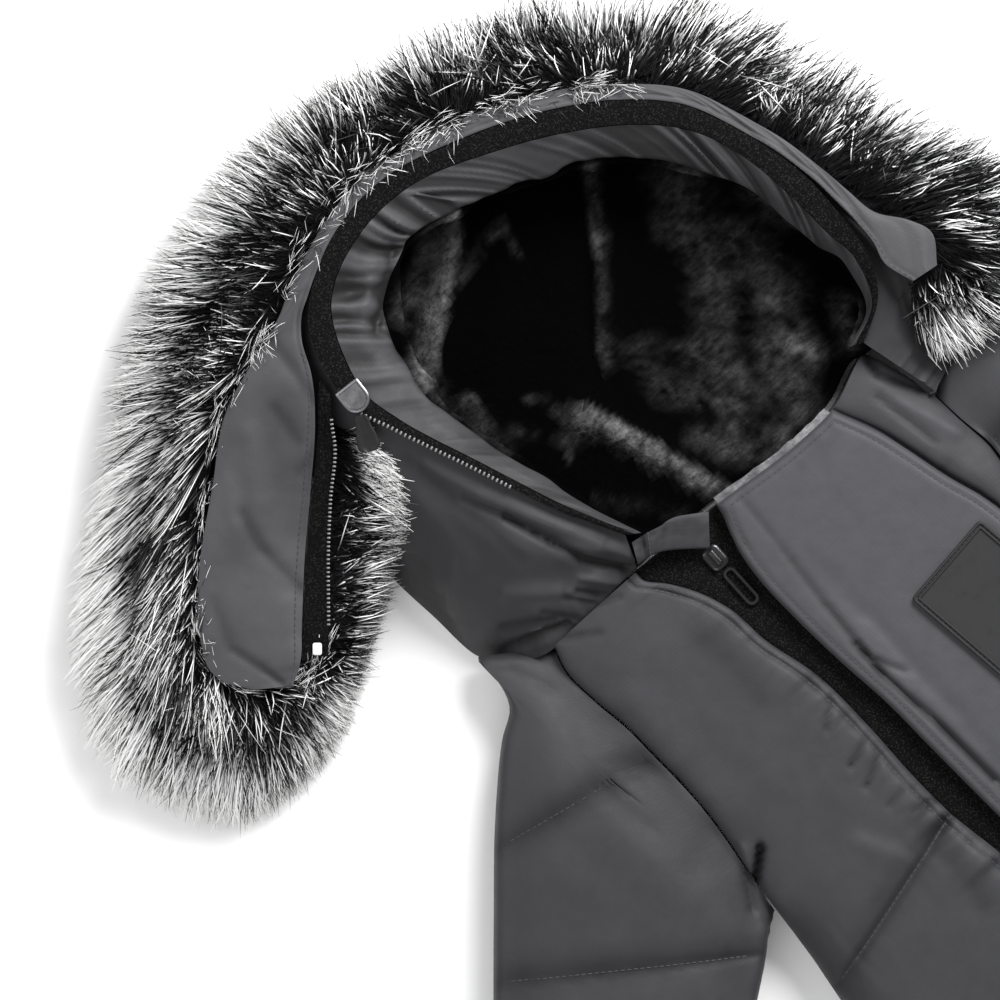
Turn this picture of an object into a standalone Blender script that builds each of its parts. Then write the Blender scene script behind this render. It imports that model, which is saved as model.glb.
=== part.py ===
"""A baby bunting bag laid on its back, with its hood opened like a bowl.

X runs to the wearer's left, Y towards the hood and Z up. The origin is on the flat
underside of the back panel, on the centre line, at the level of the front zip's slider.
Lengths in this script are millimetres, and finish() turns them into metres.
"""
import math

import bpy
import bmesh
import numpy as np

MM = 0.001
SAME_POINT = 1e-7       # metres
SHARP_ANGLE = math.radians(50)
SEAM_GAP = 0.3          # between pieces that are sewn together
LAY_GAP = 0.5           # between pieces that lie on each other

# Sack
NECK_Y = 19.0
SEAM_Z = 12.5           # the plane in which back and front meet
EDGE_WALL = 3.4         # each panel's thickness at the side seam
BACK_ROUND = 16.0
FRONT_ROUND = 34.0
QUILT_SEAMS = (-155.0, -238.0, -321.0, -404.0)
QUILT_SLOPE = 0.26      # the quilt seams drop this much per mm away from the centre
QUILT_DEPTH = 5.0
QUILT_WIDTH = 5.0
SEAM_ROLL = 9.5         # more thickness at the armholes and the neck than at the sides
GROOVE_FADE = 20.0      # the quilt seams run out this near the edge
UNDER_FLAP_Z = 29.0     # the left front's top where the flap lies on it
FLAP_ROLL = 9.0         # the left front rises beside the flap within this

# Zip, flap and label
ZIP_LEFT = 15.0         # from the flap's free edge to the left front's own edge
TAPE_Z = 26.0
TAPE_WALL = 1.5
FLAP_LINING_WALL = 2.2
FLAP_WALL = 5.0
FLAP_EDGE_WALL = 2.6
CREASE = (14.0, 5.0, 1.6)   # X, half width and depth of the flap's crease by the zip
CHEST_PRESS = 12.0      # the right front falls to the tape within this
CHEST_EDGE_Z = 29.5
TEETH_OFFSET = 2.0      # from the flap's free edge to the line where the tapes meet
TAPES_APART = 0.8
FLAP_Z = UNDER_FLAP_Z + LAY_GAP + FLAP_LINING_WALL + SEAM_GAP    # its underside
ZIP_END = -410.0
FLAP_END = -430.0
LABEL_WIDTH = 48.0
LABEL_LENGTH = 60.0
LABEL_WALL = 2.6
LABEL_CORNER = (34.7, -74.0)
LABEL_TURN = math.radians(7.0)

# Sleeves
SLEEVE_WALL = 9.0       # beside the sleeve's opening
SLEEVE_SLIT = 3.0       # between its two panels, which all but lie on each other
CUFF_PLEAT = 1.3
SLEEVE_BOX = 0.75       # below 1 the section is fuller than an ellipse
ARMHOLE_GAP = 0.8
CUFF_PLEATS = 6
SLEEVE_GROOVE = (4.0, 7.0)      # depth and half width of its quilt seams

# Hood
SHELL_WALL = 4.5
LINING_WALL = 3.2
LINING_STEPS = 6
NECK_SECTIONS = 9
COLLAR_WALL = 1.8
FACING_PUCKERS = 13
HOOD_FLOOR_WALL = 4.5
FOLD_HEIGHT = 2.2
STATIONS = 4 * FACING_PUCKERS + 1   # sections round the hood's opening

TRIM_WALL = 3.0
STRIP_GAP = 0.5         # between the strip and the hood's tape where they are zipped
FUR_SEWN = 2.1          # the fur reaches this much nearer to the strip than its table says
TAB_WALL = 3.6

# Sliders and pulls
SLIDER = (-18.5, -1.0)
SLIDER_HEIGHT = 4.0
PULL_LENGTH = 21.0
PULL_WALL = 1.5
HOOD_SLIDER = (-91.0, 163.0)
HOOD_SLIDER_TURN = math.radians(-4)
HOOD_SLIDER_Z = 74.7
HOOD_PULL_TURN = math.radians(244)
END_STOP = (-178.6, 93.0)
END_STOP_Z = 47.95


def columns(names, rows):
    """A table's columns as arrays, by name."""
    return dict(zip(names.split(), np.array(rows, float).T))


def smooth(at, knots, values):
    """Values at given places of a smooth curve through the knots."""
    at = np.clip(np.asarray(at, float), knots[0], knots[-1])
    slope = np.gradient(values, knots)
    i = np.clip(np.searchsorted(knots, at) - 1, 0, len(knots) - 2)
    span = knots[i + 1] - knots[i]
    t = (at - knots[i]) / span
    return ((1 + 2 * t) * (1 - t) ** 2 * values[i] + t * (1 - t) ** 2 * span * slope[i]
            + t * t * (3 - 2 * t) * values[i + 1] - t * t * (1 - t) * span * slope[i + 1])


def read(table, name, at):
    """A column of a table at places between its rows, whose first column rises."""
    knots = next(iter(table.values()))
    return smooth(at, knots, table[name])


def points(table, stem, at):
    """Points from the columns stem_x, stem_y and stem_z."""
    return np.stack([read(table, f"{stem}_{axis}", at) for axis in "xyz"], -1)


def crown(distance, radius):
    """A quarter circle's rise from 0 at an edge to 1 at the radius."""
    q = np.clip(distance / radius, 0, 1)
    return np.sqrt(1 - (1 - q) ** 2)


def bell(distance, width):
    return np.exp(-((distance / width) ** 2))


def line_distance(xy, start, end):
    """Distances from points to a line between two others."""
    start, step = np.array(start, float), np.subtract(end, start)
    along = (((xy - start) @ step) / (step @ step)).clip(0, 1)
    return np.linalg.norm(xy - start - along[..., None] * step, axis=-1)


def material(name, colour, roughness, metallic=0.0):
    made = bpy.data.materials.new(name)
    made.use_nodes = True
    shader = made.node_tree.nodes["Principled BSDF"]
    shader.inputs["Base Color"].default_value = (*colour, 1)
    shader.inputs["Roughness"].default_value = roughness
    shader.inputs["Metallic"].default_value = metallic
    return made


def finish(name, verts, faces, finish_material, pivot=(0, 0, 0)):
    """One closed body from points in mm, with its faces pointing out."""
    pivot = np.asarray(pivot, float)
    bm = bmesh.new()
    made = [bm.verts.new((np.asarray(p) - pivot) * MM) for p in verts]
    for face in faces:
        bm.faces.new([made[k] for k in face])
    bmesh.ops.remove_doubles(bm, verts=bm.verts, dist=SAME_POINT)
    bmesh.ops.dissolve_degenerate(bm, edges=bm.edges, dist=SAME_POINT)
    bmesh.ops.triangulate(bm, faces=bm.faces)
    if bm.calc_volume(signed=True) < 0:
        bmesh.ops.reverse_faces(bm, faces=bm.faces)
    mesh = bpy.data.meshes.new(name)
    bm.to_mesh(mesh)
    bm.free()
    mesh.shade_smooth()
    mesh.set_sharp_from_angle(angle=SHARP_ANGLE)
    mesh.materials.append(finish_material)
    piece = bpy.data.objects.new(name, mesh)
    piece.location = pivot * MM
    bpy.context.collection.objects.link(piece)
    return piece


def wall(name, outer, inner, finish_material, around=False, **more):
    """A closed wall between two grids of points of the same shape (rows, columns, 3)."""
    rows, cols = outer.shape[:2]
    verts = np.concatenate([outer.reshape(-1, 3), inner.reshape(-1, 3)])
    back = rows * cols

    def at(i, j):
        return (i % rows) * cols + j

    faces = []
    for i in range(rows if around else rows - 1):
        for j in range(cols - 1):
            quad = [at(i, j), at(i + 1, j), at(i + 1, j + 1), at(i, j + 1)]
            faces.append(quad)
            faces.append([back + k for k in reversed(quad)])
        first, after = at(i, 0), at(i + 1, 0)
        faces.append([after, first, back + first, back + after])
        first, after = at(i, cols - 1), at(i + 1, cols - 1)
        faces.append([first, after, back + after, back + first])
    if not around:
        for j in range(cols - 1):
            first, after = at(0, j), at(0, j + 1)
            faces.append([first, after, back + after, back + first])
            first, after = at(rows - 1, j), at(rows - 1, j + 1)
            faces.append([after, first, back + first, back + after])
    return finish(name, verts, faces, finish_material, **more)


def slab(name, low, high, finish_material, **more):
    return wall(name, high, low, finish_material, **more)


def extrude(name, outline, low, high, finish_material, **more):
    """A flat plate: an outline (n, 2) between two heights."""
    n = len(outline)
    verts = [(*p, low) for p in outline] + [(*p, high) for p in outline]
    faces = [list(reversed(range(n))), [n + k for k in range(n)]]
    faces += [[k, (k + 1) % n, n + (k + 1) % n, n + k] for k in range(n)]
    return finish(name, verts, faces, finish_material, **more)


def grid(table, stem_a, stem_b, at, count):
    """Rows of points from one named edge to another, straight between them."""
    a, b = points(table, stem_a, at), points(table, stem_b, at)
    share = np.linspace(0, 1, count)[None, :, None]
    return a[:, None] * (1 - share) + b[:, None] * share


# ---------------------------------------------------------------- tables

# The sack's outline and fullness by rows from the neck to the bottom, "thick" being 1
# where the edge is an armhole or the neck and 0 at the side seam.
SACK = columns("v left right puff thick", [
    (-480, -62, 62, 17, 0), (-472, -88, 88, 22, 0), (-455, -108, 108, 29, 0),
    (-425, -121, 121, 35, 0), (-380, -128, 128, 37, 0), (-300, -128, 128, 38, 0),
    (-220, -121, 121, 38, 0), (-160, -112, 112, 38, 0), (-130, -107.5, 108.5, 37, 0),
    (-118, -106, 108, 36.5, 1), (-75, -99, 105, 36, 1), (-46, -99.6, 109, 35, 1),
    (-33, -100, 107, 34.5, 1), (-12, -102.8, 105, 33.5, 1), (8, -103.4, 98.8, 32, 1),
    (19, -100, 94.5, 31, 1),
])

# The right front's stitched edge beside the zip, the flap's free edge that hides the
# teeth, and the flap's sewn edge.
ZIP = columns("v chest flap sewn", [
    (-480, -3, 0, 92), (-425, -3, 0, 96), (-404, -8.5, 0, 97), (-330, -9, 0, 97),
    (-186, -12.6, -1.5, 97), (-152, -17.6, -3, 96.5),
    (-129, -18.6, -4, 96), (-103, -18.3, -5, 95), (-71, -20.1, -8.4, 93),
    (-43, -26.9, -10.2, 84.5), (-22, -29.2, -10.5, 79.5), (-5, -35.8, -8.6, 75),
    (6, -43, -5.5, 71), (13.6, -49.6, -3, 68), (19, -50, -2, 66),
])

# The neck edge's Y across the sack.
NECK = columns("x y", [(-130, 19), (-47, 19), (0, 17), (45, 13), (68, 14), (93, 23),
                       (130, 23)])

# Round the hood's opening, from its front end on the wearer's right over the crown to
# the other front end: the rim, the inner edge of the facing, the lower edge of the
# outer shell, and the width of the zip tape there.
OPENING = columns(
    "s rim_x rim_y rim_z inner_x inner_y inner_z base_x base_y base_z bulge tape", [
        (0.00, -42, 35, 49, -36, 31, 43, -48, 20.5, 31, 2, 4.5),
        (0.04, -50, 50, 57, -42, 47, 50, -66, 19.8, 29.5, 6, 4.5),
        (0.09, -57.5, 65, 63, -46.5, 62, 55, -86, 19.8, 27, 10, 4.5),
        (0.15, -66, 86, 68, -52.5, 85, 58, -105, 24, 24, 12, 4.5),
        (0.20, -74.5, 108, 71, -60, 112, 60, -119, 33.5, 11, 12, 4.5),
        (0.24, -81, 124, 72, -63.5, 130, 61, -129, 43, 1, 12, 4.5),
        (0.28, -88, 142, 73, -64.5, 147, 61, -132, 66, 0, 12, 5.5),
        (0.32, -95, 163, 74, -58, 164, 61, -134.5, 98, 0, 12, 9),
        (0.36, -90.5, 190, 74, -45, 185, 60, -131, 148, 0, 12, 12),
        (0.41, -76, 210, 73.5, -30, 198, 59, -117, 193, 0, 11, 12.5),
        (0.47, -40, 226, 73, -8, 197, 58, -76, 226, 0, 9, 12.8),
        (0.51, -14, 227, 72, 12, 191, 57, -22, 238, 0, 8, 13),
        (0.57, 31, 214, 71, 36, 180, 56, 36, 234, 0, 8, 13),
        (0.63, 66, 197, 70, 61, 169, 55, 79, 217, 0, 8, 13.2),
        (0.68, 89, 181, 69, 82, 151, 54, 106, 194, 0, 8, 13.5),
        (0.73, 107, 162, 68, 96, 129, 53, 124, 165, 0, 8, 14),
        (0.77, 116, 143, 67, 104, 113, 52, 132, 140, 0, 8, 15),
        (0.82, 126, 108, 65, 107.5, 90, 51, 138, 104, 0, 7, 15.5),
        (0.87, 127, 79, 63, 109.5, 74, 50, 140, 72, 0, 7, 12.5),
        (0.92, 124, 55, 60, 114, 59, 49, 136, 44, 0, 7, 8),
        (0.96, 115, 38, 53, 108, 38, 45, 128, 0, 14, 5, 5),
        (1.00, 97, 27, 44, 91, 30, 40, 107, -12, 30.5, 3, 4),
    ])

# The lower part of the hood's back, which lies flat: its sides by rows.
HOOD_FLOOR = columns("y left right", [
    (19.6, -97, 72), (26, -103, 88), (32, -109, 100), (40, -118, 114), (60, -124, 129),
    (100, -128, 132),
    (140, -125.5, 124), (165, -121, 115), (190, -111, 97), (210, -91, 72), (222, -64, 47),
    (227, -45, 20),
])

# The strip that carries the fur: unzipped and laid out from its free end to the hood's
# slider, then along the outside of the rim to its other end.
STRIP = columns("s outer_x outer_y outer_z inner_x inner_y inner_z", [
    (0.00, -215, 97, 47, -200, 86, 47), (0.03, -223, 111, 48, -191, 91, 48),
    (0.08, -216, 131, 50, -178, 104, 50), (0.15, -194, 155, 54, -156, 126, 55),
    (0.22, -166, 177, 59, -133, 147, 62), (0.29, -138, 198, 66, -111, 168, 72),
    (0.34, -113.5, 206.5, 71, -98.5, 184, 76), (0.38, -95, 212, 72, -88, 204, 75.5),
    (0.43, -75, 221.5, 72, -71, 216.5, 74.5), (0.49, -41, 232.5, 71, -38, 228, 74),
    (0.54, -12.5, 234, 70, -13, 229, 73), (0.61, 36, 221.5, 70, 33, 216, 72),
    (0.68, 71.5, 203.5, 69, 67.5, 199, 71), (0.75, 94.5, 186, 68, 91, 183, 70),
    (0.82, 113, 166, 67, 109, 163.5, 69), (0.88, 123, 143, 66, 118.5, 141, 68),
    (0.93, 133, 109, 65, 128.5, 107, 67), (0.955, 136.5, 84, 64.5, 130, 84, 66.5),
    (0.97, 139, 68, 64, 130, 69, 66), (0.98, 148, 55, 63.5, 129.5, 58, 65),
    (0.99, 152, 43, 63, 127, 47, 64), (1.00, 144, 31, 62, 131, 33, 63),
])

# The zip tape on the strip's loose part, from its end to the slider, with its teeth's
# line.
TRIM_TAPE = columns("s edge_x edge_y edge_z teeth_x teeth_y teeth_z", [
    (0.00, -189.5, 91.5, 46, -180.5, 83.5, 46), (0.12, -177.5, 103, 49, -168, 97, 49),
    (0.35, -155.6, 124.8, 54, -148, 119, 54), (0.58, -133, 145.6, 61, -130, 137, 61),
    (0.80, -112, 165, 69, -112.5, 153, 69), (0.92, -103.5, 174, 72.5, -105.5, 163, 72.5),
    (1.00, -97.2, 180, 74.5, -98.2, 171.5, 74.5),
])

# The neck tab, which covers the zip's upper end, by its two long edges.
TAB = columns("s up_x up_y up_z down_x down_y down_z", [
    (0.00, -42.2, 30.6, 44.2, -46.8, 21.2, 40.6), (0.14, -35.0, 29.4, 44.2, -41, 20.4, 41),
    (0.30, -28.5, 27.6, 43, -36, 18.8, 39.5),
    (0.62, -20.5, 26.2, 40, -28.5, 13.8, 37.5), (1.00, -6.8, 17.4, 37.5, -17.6, 4.6, 36),
])

# The fur from the free end round the crown to the wearer's left shoulder: its outer
# outline, its inner outline, its crest between them, and the height of its underside.
FUR = columns("s outer_x outer_y inner_x inner_y crest outer_top low over", [
    (0.000, -238, 52, -220, 55, 20, 12, 0, 0), (0.025, -262, 58, -197, 59, 32, 20, 0, 0),
    (0.070, -280, 88, -172, 71, 40, 26, 0, 0), (0.130, -287, 122, -152, 84, 42, 28, 0, 0),
    (0.190, -276, 150, -139, 98, 44, 30, 0, 0), (0.250, -250, 182, -140, 130, 48, 32, 0, 0),
    (0.310, -214, 208, -139, 158, 51, 34, 0, 0), (0.370, -172, 237, -135, 184, 57, 36, 0, 0),
    (0.430, -126, 269, -106, 212, 70, 38, 0, 8), (0.480, -88, 281, -78, 225, 74, 40, 0, 13),
    (0.530, -50, 284, -44, 235, 76, 40, 0, 14), (0.590, 1, 279, -8, 236, 76, 40, 0, 14),
    (0.650, 56, 265, 38, 224, 76, 40, 0, 15), (0.710, 104, 240, 75, 206, 75, 38, 0, 17),
    (0.770, 143, 203, 101, 183.5, 74, 38, 0, 19), (0.820, 163, 172, 117.5, 164, 73, 38, 0, 17),
    (0.860, 176, 141, 126, 144, 72, 38, 0, 15), (0.900, 189, 106, 137, 109, 70, 38, 0, 12),
    (0.935, 200, 70, 142, 77, 66, 36, 0, 9), (0.965, 207, 34, 143, 44, 58, 44, 20, 0),
    (0.985, 203, 0, 136, 12, 58, 50, 40, 0), (1.000, 188, -34, 124, -12, 54, 50, 43, 0),
])

# Each sleeve's two edges from the armhole to the cuff, and its height.
SLEEVE_RIGHT = columns("s top_x top_y low_x low_y height", [
    (0.00, -100.5, 18.7, -108.5, -139, 27), (0.06, -110, 25.5, -109.8, -140, 30),
    (0.12, -121, 33, -111.2, -141.5, 29), (0.16, -130, 38.5, -112.3, -142, 27),
    (0.20, -130, 26, -113.7, -143, 33), (0.25, -133.5, 13, -115, -144.5, 37),
    (0.32, -147, 3, -117.5, -146, 39),
    (0.46, -176, -24, -122, -150, 39), (0.60, -203, -53, -131, -157, 38),
    (0.80, -245, -99, -168, -183, 37), (0.93, -274, -131, -199, -204, 33),
    (1.00, -289, -150, -220, -212, 25),
])
SLEEVE_LEFT = columns("s top_x top_y low_x low_y height", [
    (0.00, 105.6, -14, 110.5, -139, 27), (0.06, 112, -10, 111.8, -140, 31),
    (0.19, 129, -5, 115.5, -143, 35), (0.32, 148, -8, 119.5, -146, 37),
    (0.46, 177, -28, 124, -150, 38), (0.60, 205, -55, 133, -157, 38),
    (0.80, 247, -101, 170, -183, 37), (0.93, 276, -133, 201, -204, 33),
    (1.00, 291, -152, 222, -212, 25),
])

# The quilt seams across each sleeve, by their ends.
SLEEVE_QUILTS = {
    -1: (((-104, -48), (-182, -32)), ((-122, -151), (-226, -75)),
         ((-178, -190), (-268, -122))),
    1: (((106, -48), (184, -34)), ((124, -151), (228, -77)),
        ((180, -190), (270, -124))),
}


# ---------------------------------------------------------------- sack


def sack_rows():
    """Places of the rows, closer at each quilt seam."""
    rows = list(np.linspace(-118, NECK_Y, 10)) + [-135, -425, -441, -457, -471, -480]
    for seam in QUILT_SEAMS:
        rows += [seam - 5, seam, seam + 5]
        rows += [seam - 27, seam - 55] if seam > QUILT_SEAMS[-1] else []
    return np.array(sorted(rows))


def sack_place(v, x):
    """A row's points, bent with the quilt seams below and with the neck edge above."""
    bend = np.clip((-v - 60) / 80, 0, 1) * np.clip((v + 480) / 90, 0, 1)
    neck = (read(NECK, "y", x) - NECK_Y) * np.clip((v + 70) / (NECK_Y + 70), 0, 1)
    return v + neck - QUILT_SLOPE * np.abs(x) * bend


def quilting(v):
    return sum(bell(v - seam, QUILT_WIDTH) for seam in QUILT_SEAMS)


def across(first, last, shares):
    """Rows of X between two edges."""
    return first[:, None] + (last - first)[:, None] * shares[None, :]


def edge_shares(count):
    """Shares of a width, closer together near the edges."""
    return (1 - np.cos(math.pi * np.linspace(0, 1, count))) / 2


def end_distance(v):
    return v - SACK["v"][0]


def back_panel(shell):
    v = sack_rows()
    left, right = read(SACK, "left", v), read(SACK, "right", v)
    thick = read(SACK, "thick", v)[:, None].clip(0, 1)
    x = across(left, right, edge_shares(9))
    vv = np.broadcast_to(v[:, None], x.shape)
    edge = np.minimum(np.minimum(x - left[:, None], right[:, None] - x), end_distance(vv))
    low = (SEAM_Z - EDGE_WALL) * (1 - crown(edge, BACK_ROUND)) * (1 - thick)
    y = sack_place(vv, x)
    slab("back_panel", np.stack([x, y, low], -1),
         np.stack([x, y, np.full_like(x, SEAM_Z)], -1), shell)


def front_height(v, x, left, right):
    """The fronts' upper face before the zip and the flap press it down."""
    edge = np.minimum(np.minimum(x - left, right - x), end_distance(v) + 3)
    thick = read(SACK, "thick", v).clip(0, 1)
    start = SEAM_Z + SEAM_GAP + EDGE_WALL + thick * SEAM_ROLL
    full = read(SACK, "puff", v)
    groove = QUILT_DEPTH * quilting(v) * crown(edge, GROOVE_FADE)
    return start + (full - start) * crown(edge, FRONT_ROUND) - groove


def front_right(shell):
    v = sack_rows()
    left, right = read(SACK, "left", v), read(SACK, "right", v)
    zip_edge = np.maximum(read(ZIP, "chest", v), left + 20)
    x = across(left, zip_edge, edge_shares(9))
    vv = np.broadcast_to(v[:, None], x.shape)
    top = front_height(vv, x, left[:, None], right[:, None])
    near_zip = 1 - crown(zip_edge[:, None] - x, CHEST_PRESS)
    top = np.minimum(top, top * (1 - near_zip) + CHEST_EDGE_Z * near_zip)
    y = sack_place(vv, x)
    slab("front_right", np.stack([x, y, np.full_like(x, SEAM_Z + SEAM_GAP)], -1),
         np.stack([x, y, top], -1), shell)


def front_left(shell):
    v = sack_rows()
    left, right = read(SACK, "left", v), read(SACK, "right", v)
    zip_edge = np.where(v < ZIP_END, read(ZIP, "chest", v) + SEAM_GAP,
                        read(ZIP, "flap", v) + ZIP_LEFT)
    sewn = np.minimum(read(ZIP, "sewn", v), right - 6)
    under = across(zip_edge, sewn + 1.0, np.linspace(0, 1, 4))
    beyond = across(sewn + 1.0, right, edge_shares(6))[:, 1:]
    x = np.concatenate([under, beyond], 1)
    vv = np.broadcast_to(v[:, None], x.shape)
    top = front_height(vv, x, left[:, None], right[:, None])
    rise = crown(x - sewn[:, None] - 1.0, FLAP_ROLL)
    low_part = vv < FLAP_END
    pressed = np.where(low_part, top, np.minimum(top, UNDER_FLAP_Z))
    top = pressed * (1 - rise) + top * rise
    y = sack_place(vv, x)
    slab("front_left", np.stack([x, y, np.full_like(x, SEAM_Z + SEAM_GAP)], -1),
         np.stack([x, y, top], -1), shell)


def zip_tapes(tape):
    """The two woven tapes of the front zip, which meet under the flap's free edge."""
    v = sack_rows()
    v = v[v > ZIP_END]
    free = read(ZIP, "flap", v)
    middle, apart = free + TEETH_OFFSET, TAPES_APART / 2
    edges = {
        "zip_tape_right": (read(ZIP, "chest", v) + SEAM_GAP, middle - apart),
        "zip_tape_left": (middle + apart, free + ZIP_LEFT - SEAM_GAP),
    }
    for name, (first, last) in edges.items():
        x = across(first, last, np.linspace(0, 1, 2))
        y = sack_place(np.broadcast_to(v[:, None], x.shape), x)
        z = np.full_like(x, TAPE_Z)
        slab(name, np.stack([x, y, z], -1), np.stack([x, y, z + TAPE_WALL], -1), tape)


def flap_height(v, x, first, last):
    """The flap's upper face: flat in the middle, with a soft crease beside the zip."""
    place, width, depth = CREASE
    edge = np.minimum(x - first, last - x)
    along = np.clip((-v - 20) / 30, 0, 1) * np.clip((v + 200) / 60, 0, 1)
    round_off = (FLAP_WALL - FLAP_EDGE_WALL) * crown(edge, 9)
    return FLAP_Z + FLAP_EDGE_WALL + round_off - depth * bell(x - place, width) * along


def flap(shell, plush):
    v = sack_rows()
    v = v[v > FLAP_END]
    corner = np.array([7.0, 2.0] + [0.0] * (len(v) - 2))
    first, last = read(ZIP, "flap", v) + corner, read(ZIP, "sewn", v) - corner
    x = across(first, last, edge_shares(10))
    vv = np.broadcast_to(v[:, None], x.shape)
    y = sack_place(vv, x)
    low = np.full_like(x, FLAP_Z)
    high = flap_height(vv, x, first[:, None], last[:, None])
    slab("storm_flap", np.stack([x, y, low], -1), np.stack([x, y, high], -1), shell)
    x = across(first + 1.2, last - 2, np.linspace(0, 1, 3))
    y = sack_place(np.broadcast_to(v[:, None], x.shape), x)
    y[-1] += 3.2
    low = np.full_like(x, UNDER_FLAP_Z + LAY_GAP)
    slab("flap_lining", np.stack([x, y, low], -1),
         np.stack([x, y, low + FLAP_LINING_WALL], -1), plush)


def rounded_rectangle(width, length, radius, steps=5):
    """An outline with its first corner at the origin, running down in Y."""
    middles = [(width - radius, -radius, 0), (radius, -radius, 90),
               (radius, radius - length, 180), (width - radius, radius - length, 270)]
    outline = []
    for x, y, start in middles:
        for k in range(steps):
            a = math.radians(start + 90 * k / (steps - 1))
            outline.append((x + radius * math.cos(a), y + radius * math.sin(a)))
    return np.array(outline)


def turned(outline, angle, place):
    c, s = math.cos(angle), math.sin(angle)
    return outline @ np.array([[c, s], [-s, c]]) + np.array(place)


def rubber_label(rubber):
    outline = turned(rounded_rectangle(LABEL_WIDTH, LABEL_LENGTH, 2.5), LABEL_TURN,
                     LABEL_CORNER)
    low = FLAP_Z + FLAP_WALL + LAY_GAP
    extrude("rubber_label", outline, low, low + LABEL_WALL, rubber)


# ---------------------------------------------------------------- sleeves


def sleeve(name, table, side, shell):
    """A flattened tube, open at the cuff and the armhole, quilted across. Its first
    ring follows the sack's edge on that side, -1 being the wearer's right."""
    v = sack_rows()
    edge_x = read(SACK, "left" if side < 0 else "right", v)
    edge_y = sack_place(v, edge_x)
    s = np.concatenate([[0, .06, .12, .19], np.linspace(0.26, 0.93, 13), [1.0]])
    around = 24
    turn = np.linspace(0, 2 * math.pi, around, endpoint=False)
    a = np.stack([read(table, "top_x", s), read(table, "top_y", s)], -1)
    b = np.stack([read(table, "low_x", s), read(table, "low_y", s)], -1)
    height = read(table, "height", s)
    middle, half = (a + b) / 2, (b - a) / 2
    width = np.linalg.norm(half, axis=1)
    cos, sin = np.cos(turn), np.sin(turn)
    wide = np.sign(cos) * np.abs(cos) ** SLEEVE_BOX
    tall = np.sign(sin) * np.abs(sin) ** SLEEVE_BOX
    depth, groove_width = SLEEVE_GROOVE
    near_cuff = np.clip((s - 0.9) / 0.1, 0, 1)
    pleats = CUFF_PLEAT * np.cos(CUFF_PLEATS * turn)[:, None] * near_cuff

    def ring(outside):
        keep = 1.0 if outside else (width - SLEEVE_WALL) / width
        xy = middle[None] + half[None] * (wide[:, None] * keep)[..., None]
        armhole = np.interp(xy[..., 1], edge_y, edge_x) + side * ARMHOLE_GAP
        straight = np.interp(xy[:, 0, 1], [b[0, 1], a[0, 1]], [b[0, 0], a[0, 0]])
        fade = np.clip(1 - s / 0.3, 0, 1) ** 1.5
        xy[..., 0] += (armhole[:, :1] - straight[:, None]) * fade[None]
        reach = (height if outside else np.full_like(height, SLEEVE_SLIT)) / 2
        z = height[None] / 2 + tall[:, None] * reach[None]
        if outside:
            z = z + np.where(z > 12, pleats, 0)
            for start, end in SLEEVE_QUILTS[side]:
                groove = depth * bell(line_distance(xy, start, end), groove_width)
                z = z - groove * tall.clip(0)[:, None] * (s > 0)
            z = np.where(tall[:, None] < -0.82, np.minimum(z, 0), z).clip(0)
        return np.concatenate([xy, z[..., None]], -1)

    wall(name, ring(True), ring(False), shell, around=True)


# ---------------------------------------------------------------- hood


def hood_profile(s):
    """The outer shell's sections from the rim down to its lower edge."""
    rim, base = points(OPENING, "rim", s), points(OPENING, "base", s)
    rim = rim - np.array([0, 0, COLLAR_WALL + 1.8])
    base[:, 2] = base[:, 2].clip(0)
    bulge = read(OPENING, "bulge", s)
    outward = base - rim
    outward[:, 2] = 0
    outward /= np.maximum(np.linalg.norm(outward, axis=1), 1e-9)[:, None]
    middle = (rim + base) / 2
    control = middle + outward * bulge[:, None] + np.array([0, 0, 1.0]) * (
        (rim[:, 2] - base[:, 2]) * 0.22)[:, None]
    t = np.linspace(0, 1, 8)[None, :, None]
    curve = (1 - t) ** 2 * rim[:, None] + 2 * t * (1 - t) * control[:, None] + t * t * (
        base[:, None])
    # Two soft folds run along the rim of the side that leans in.
    leaning = np.clip(s / 0.06, 0, 1) * np.clip((0.27 - s) / 0.08, 0, 1)
    folds = bell(t[..., 0] - 0.29, 0.09) - 0.8 * bell(t[..., 0] - 0.5, 0.11)
    curve[..., 2] += FOLD_HEIGHT * leaning[:, None] * folds
    return curve


def normals(grid_points):
    """Unit normals of a grid, by the differences between neighbours."""
    def direction(axis):
        step = np.diff(grid_points, axis=axis)
        step = step / np.maximum(np.linalg.norm(step, axis=-1, keepdims=True), 1e-9)
        first, last = step.take([0], axis), step.take([-1], axis)
        return np.concatenate([first, step], axis) + np.concatenate([step, last], axis)

    normal = np.cross(direction(0), direction(1))
    return normal / np.maximum(np.linalg.norm(normal, axis=-1), 1e-9)[..., None]


def hood_inside(outer, depth):
    """A grid moved into the bowl."""
    normal = normals(outer)
    centre = np.array([0, 100, 30.0])
    towards = np.sign(((centre - outer) * normal).sum(-1))
    sign = 1.0 if towards.mean() > 0 else -1.0
    moved = outer + normal * sign * depth
    moved[..., 2] = moved[..., 2].clip(0)
    for end in (0, -1):
        moved[:, end, 2] = outer[:, end, 2]
    return moved


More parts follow.
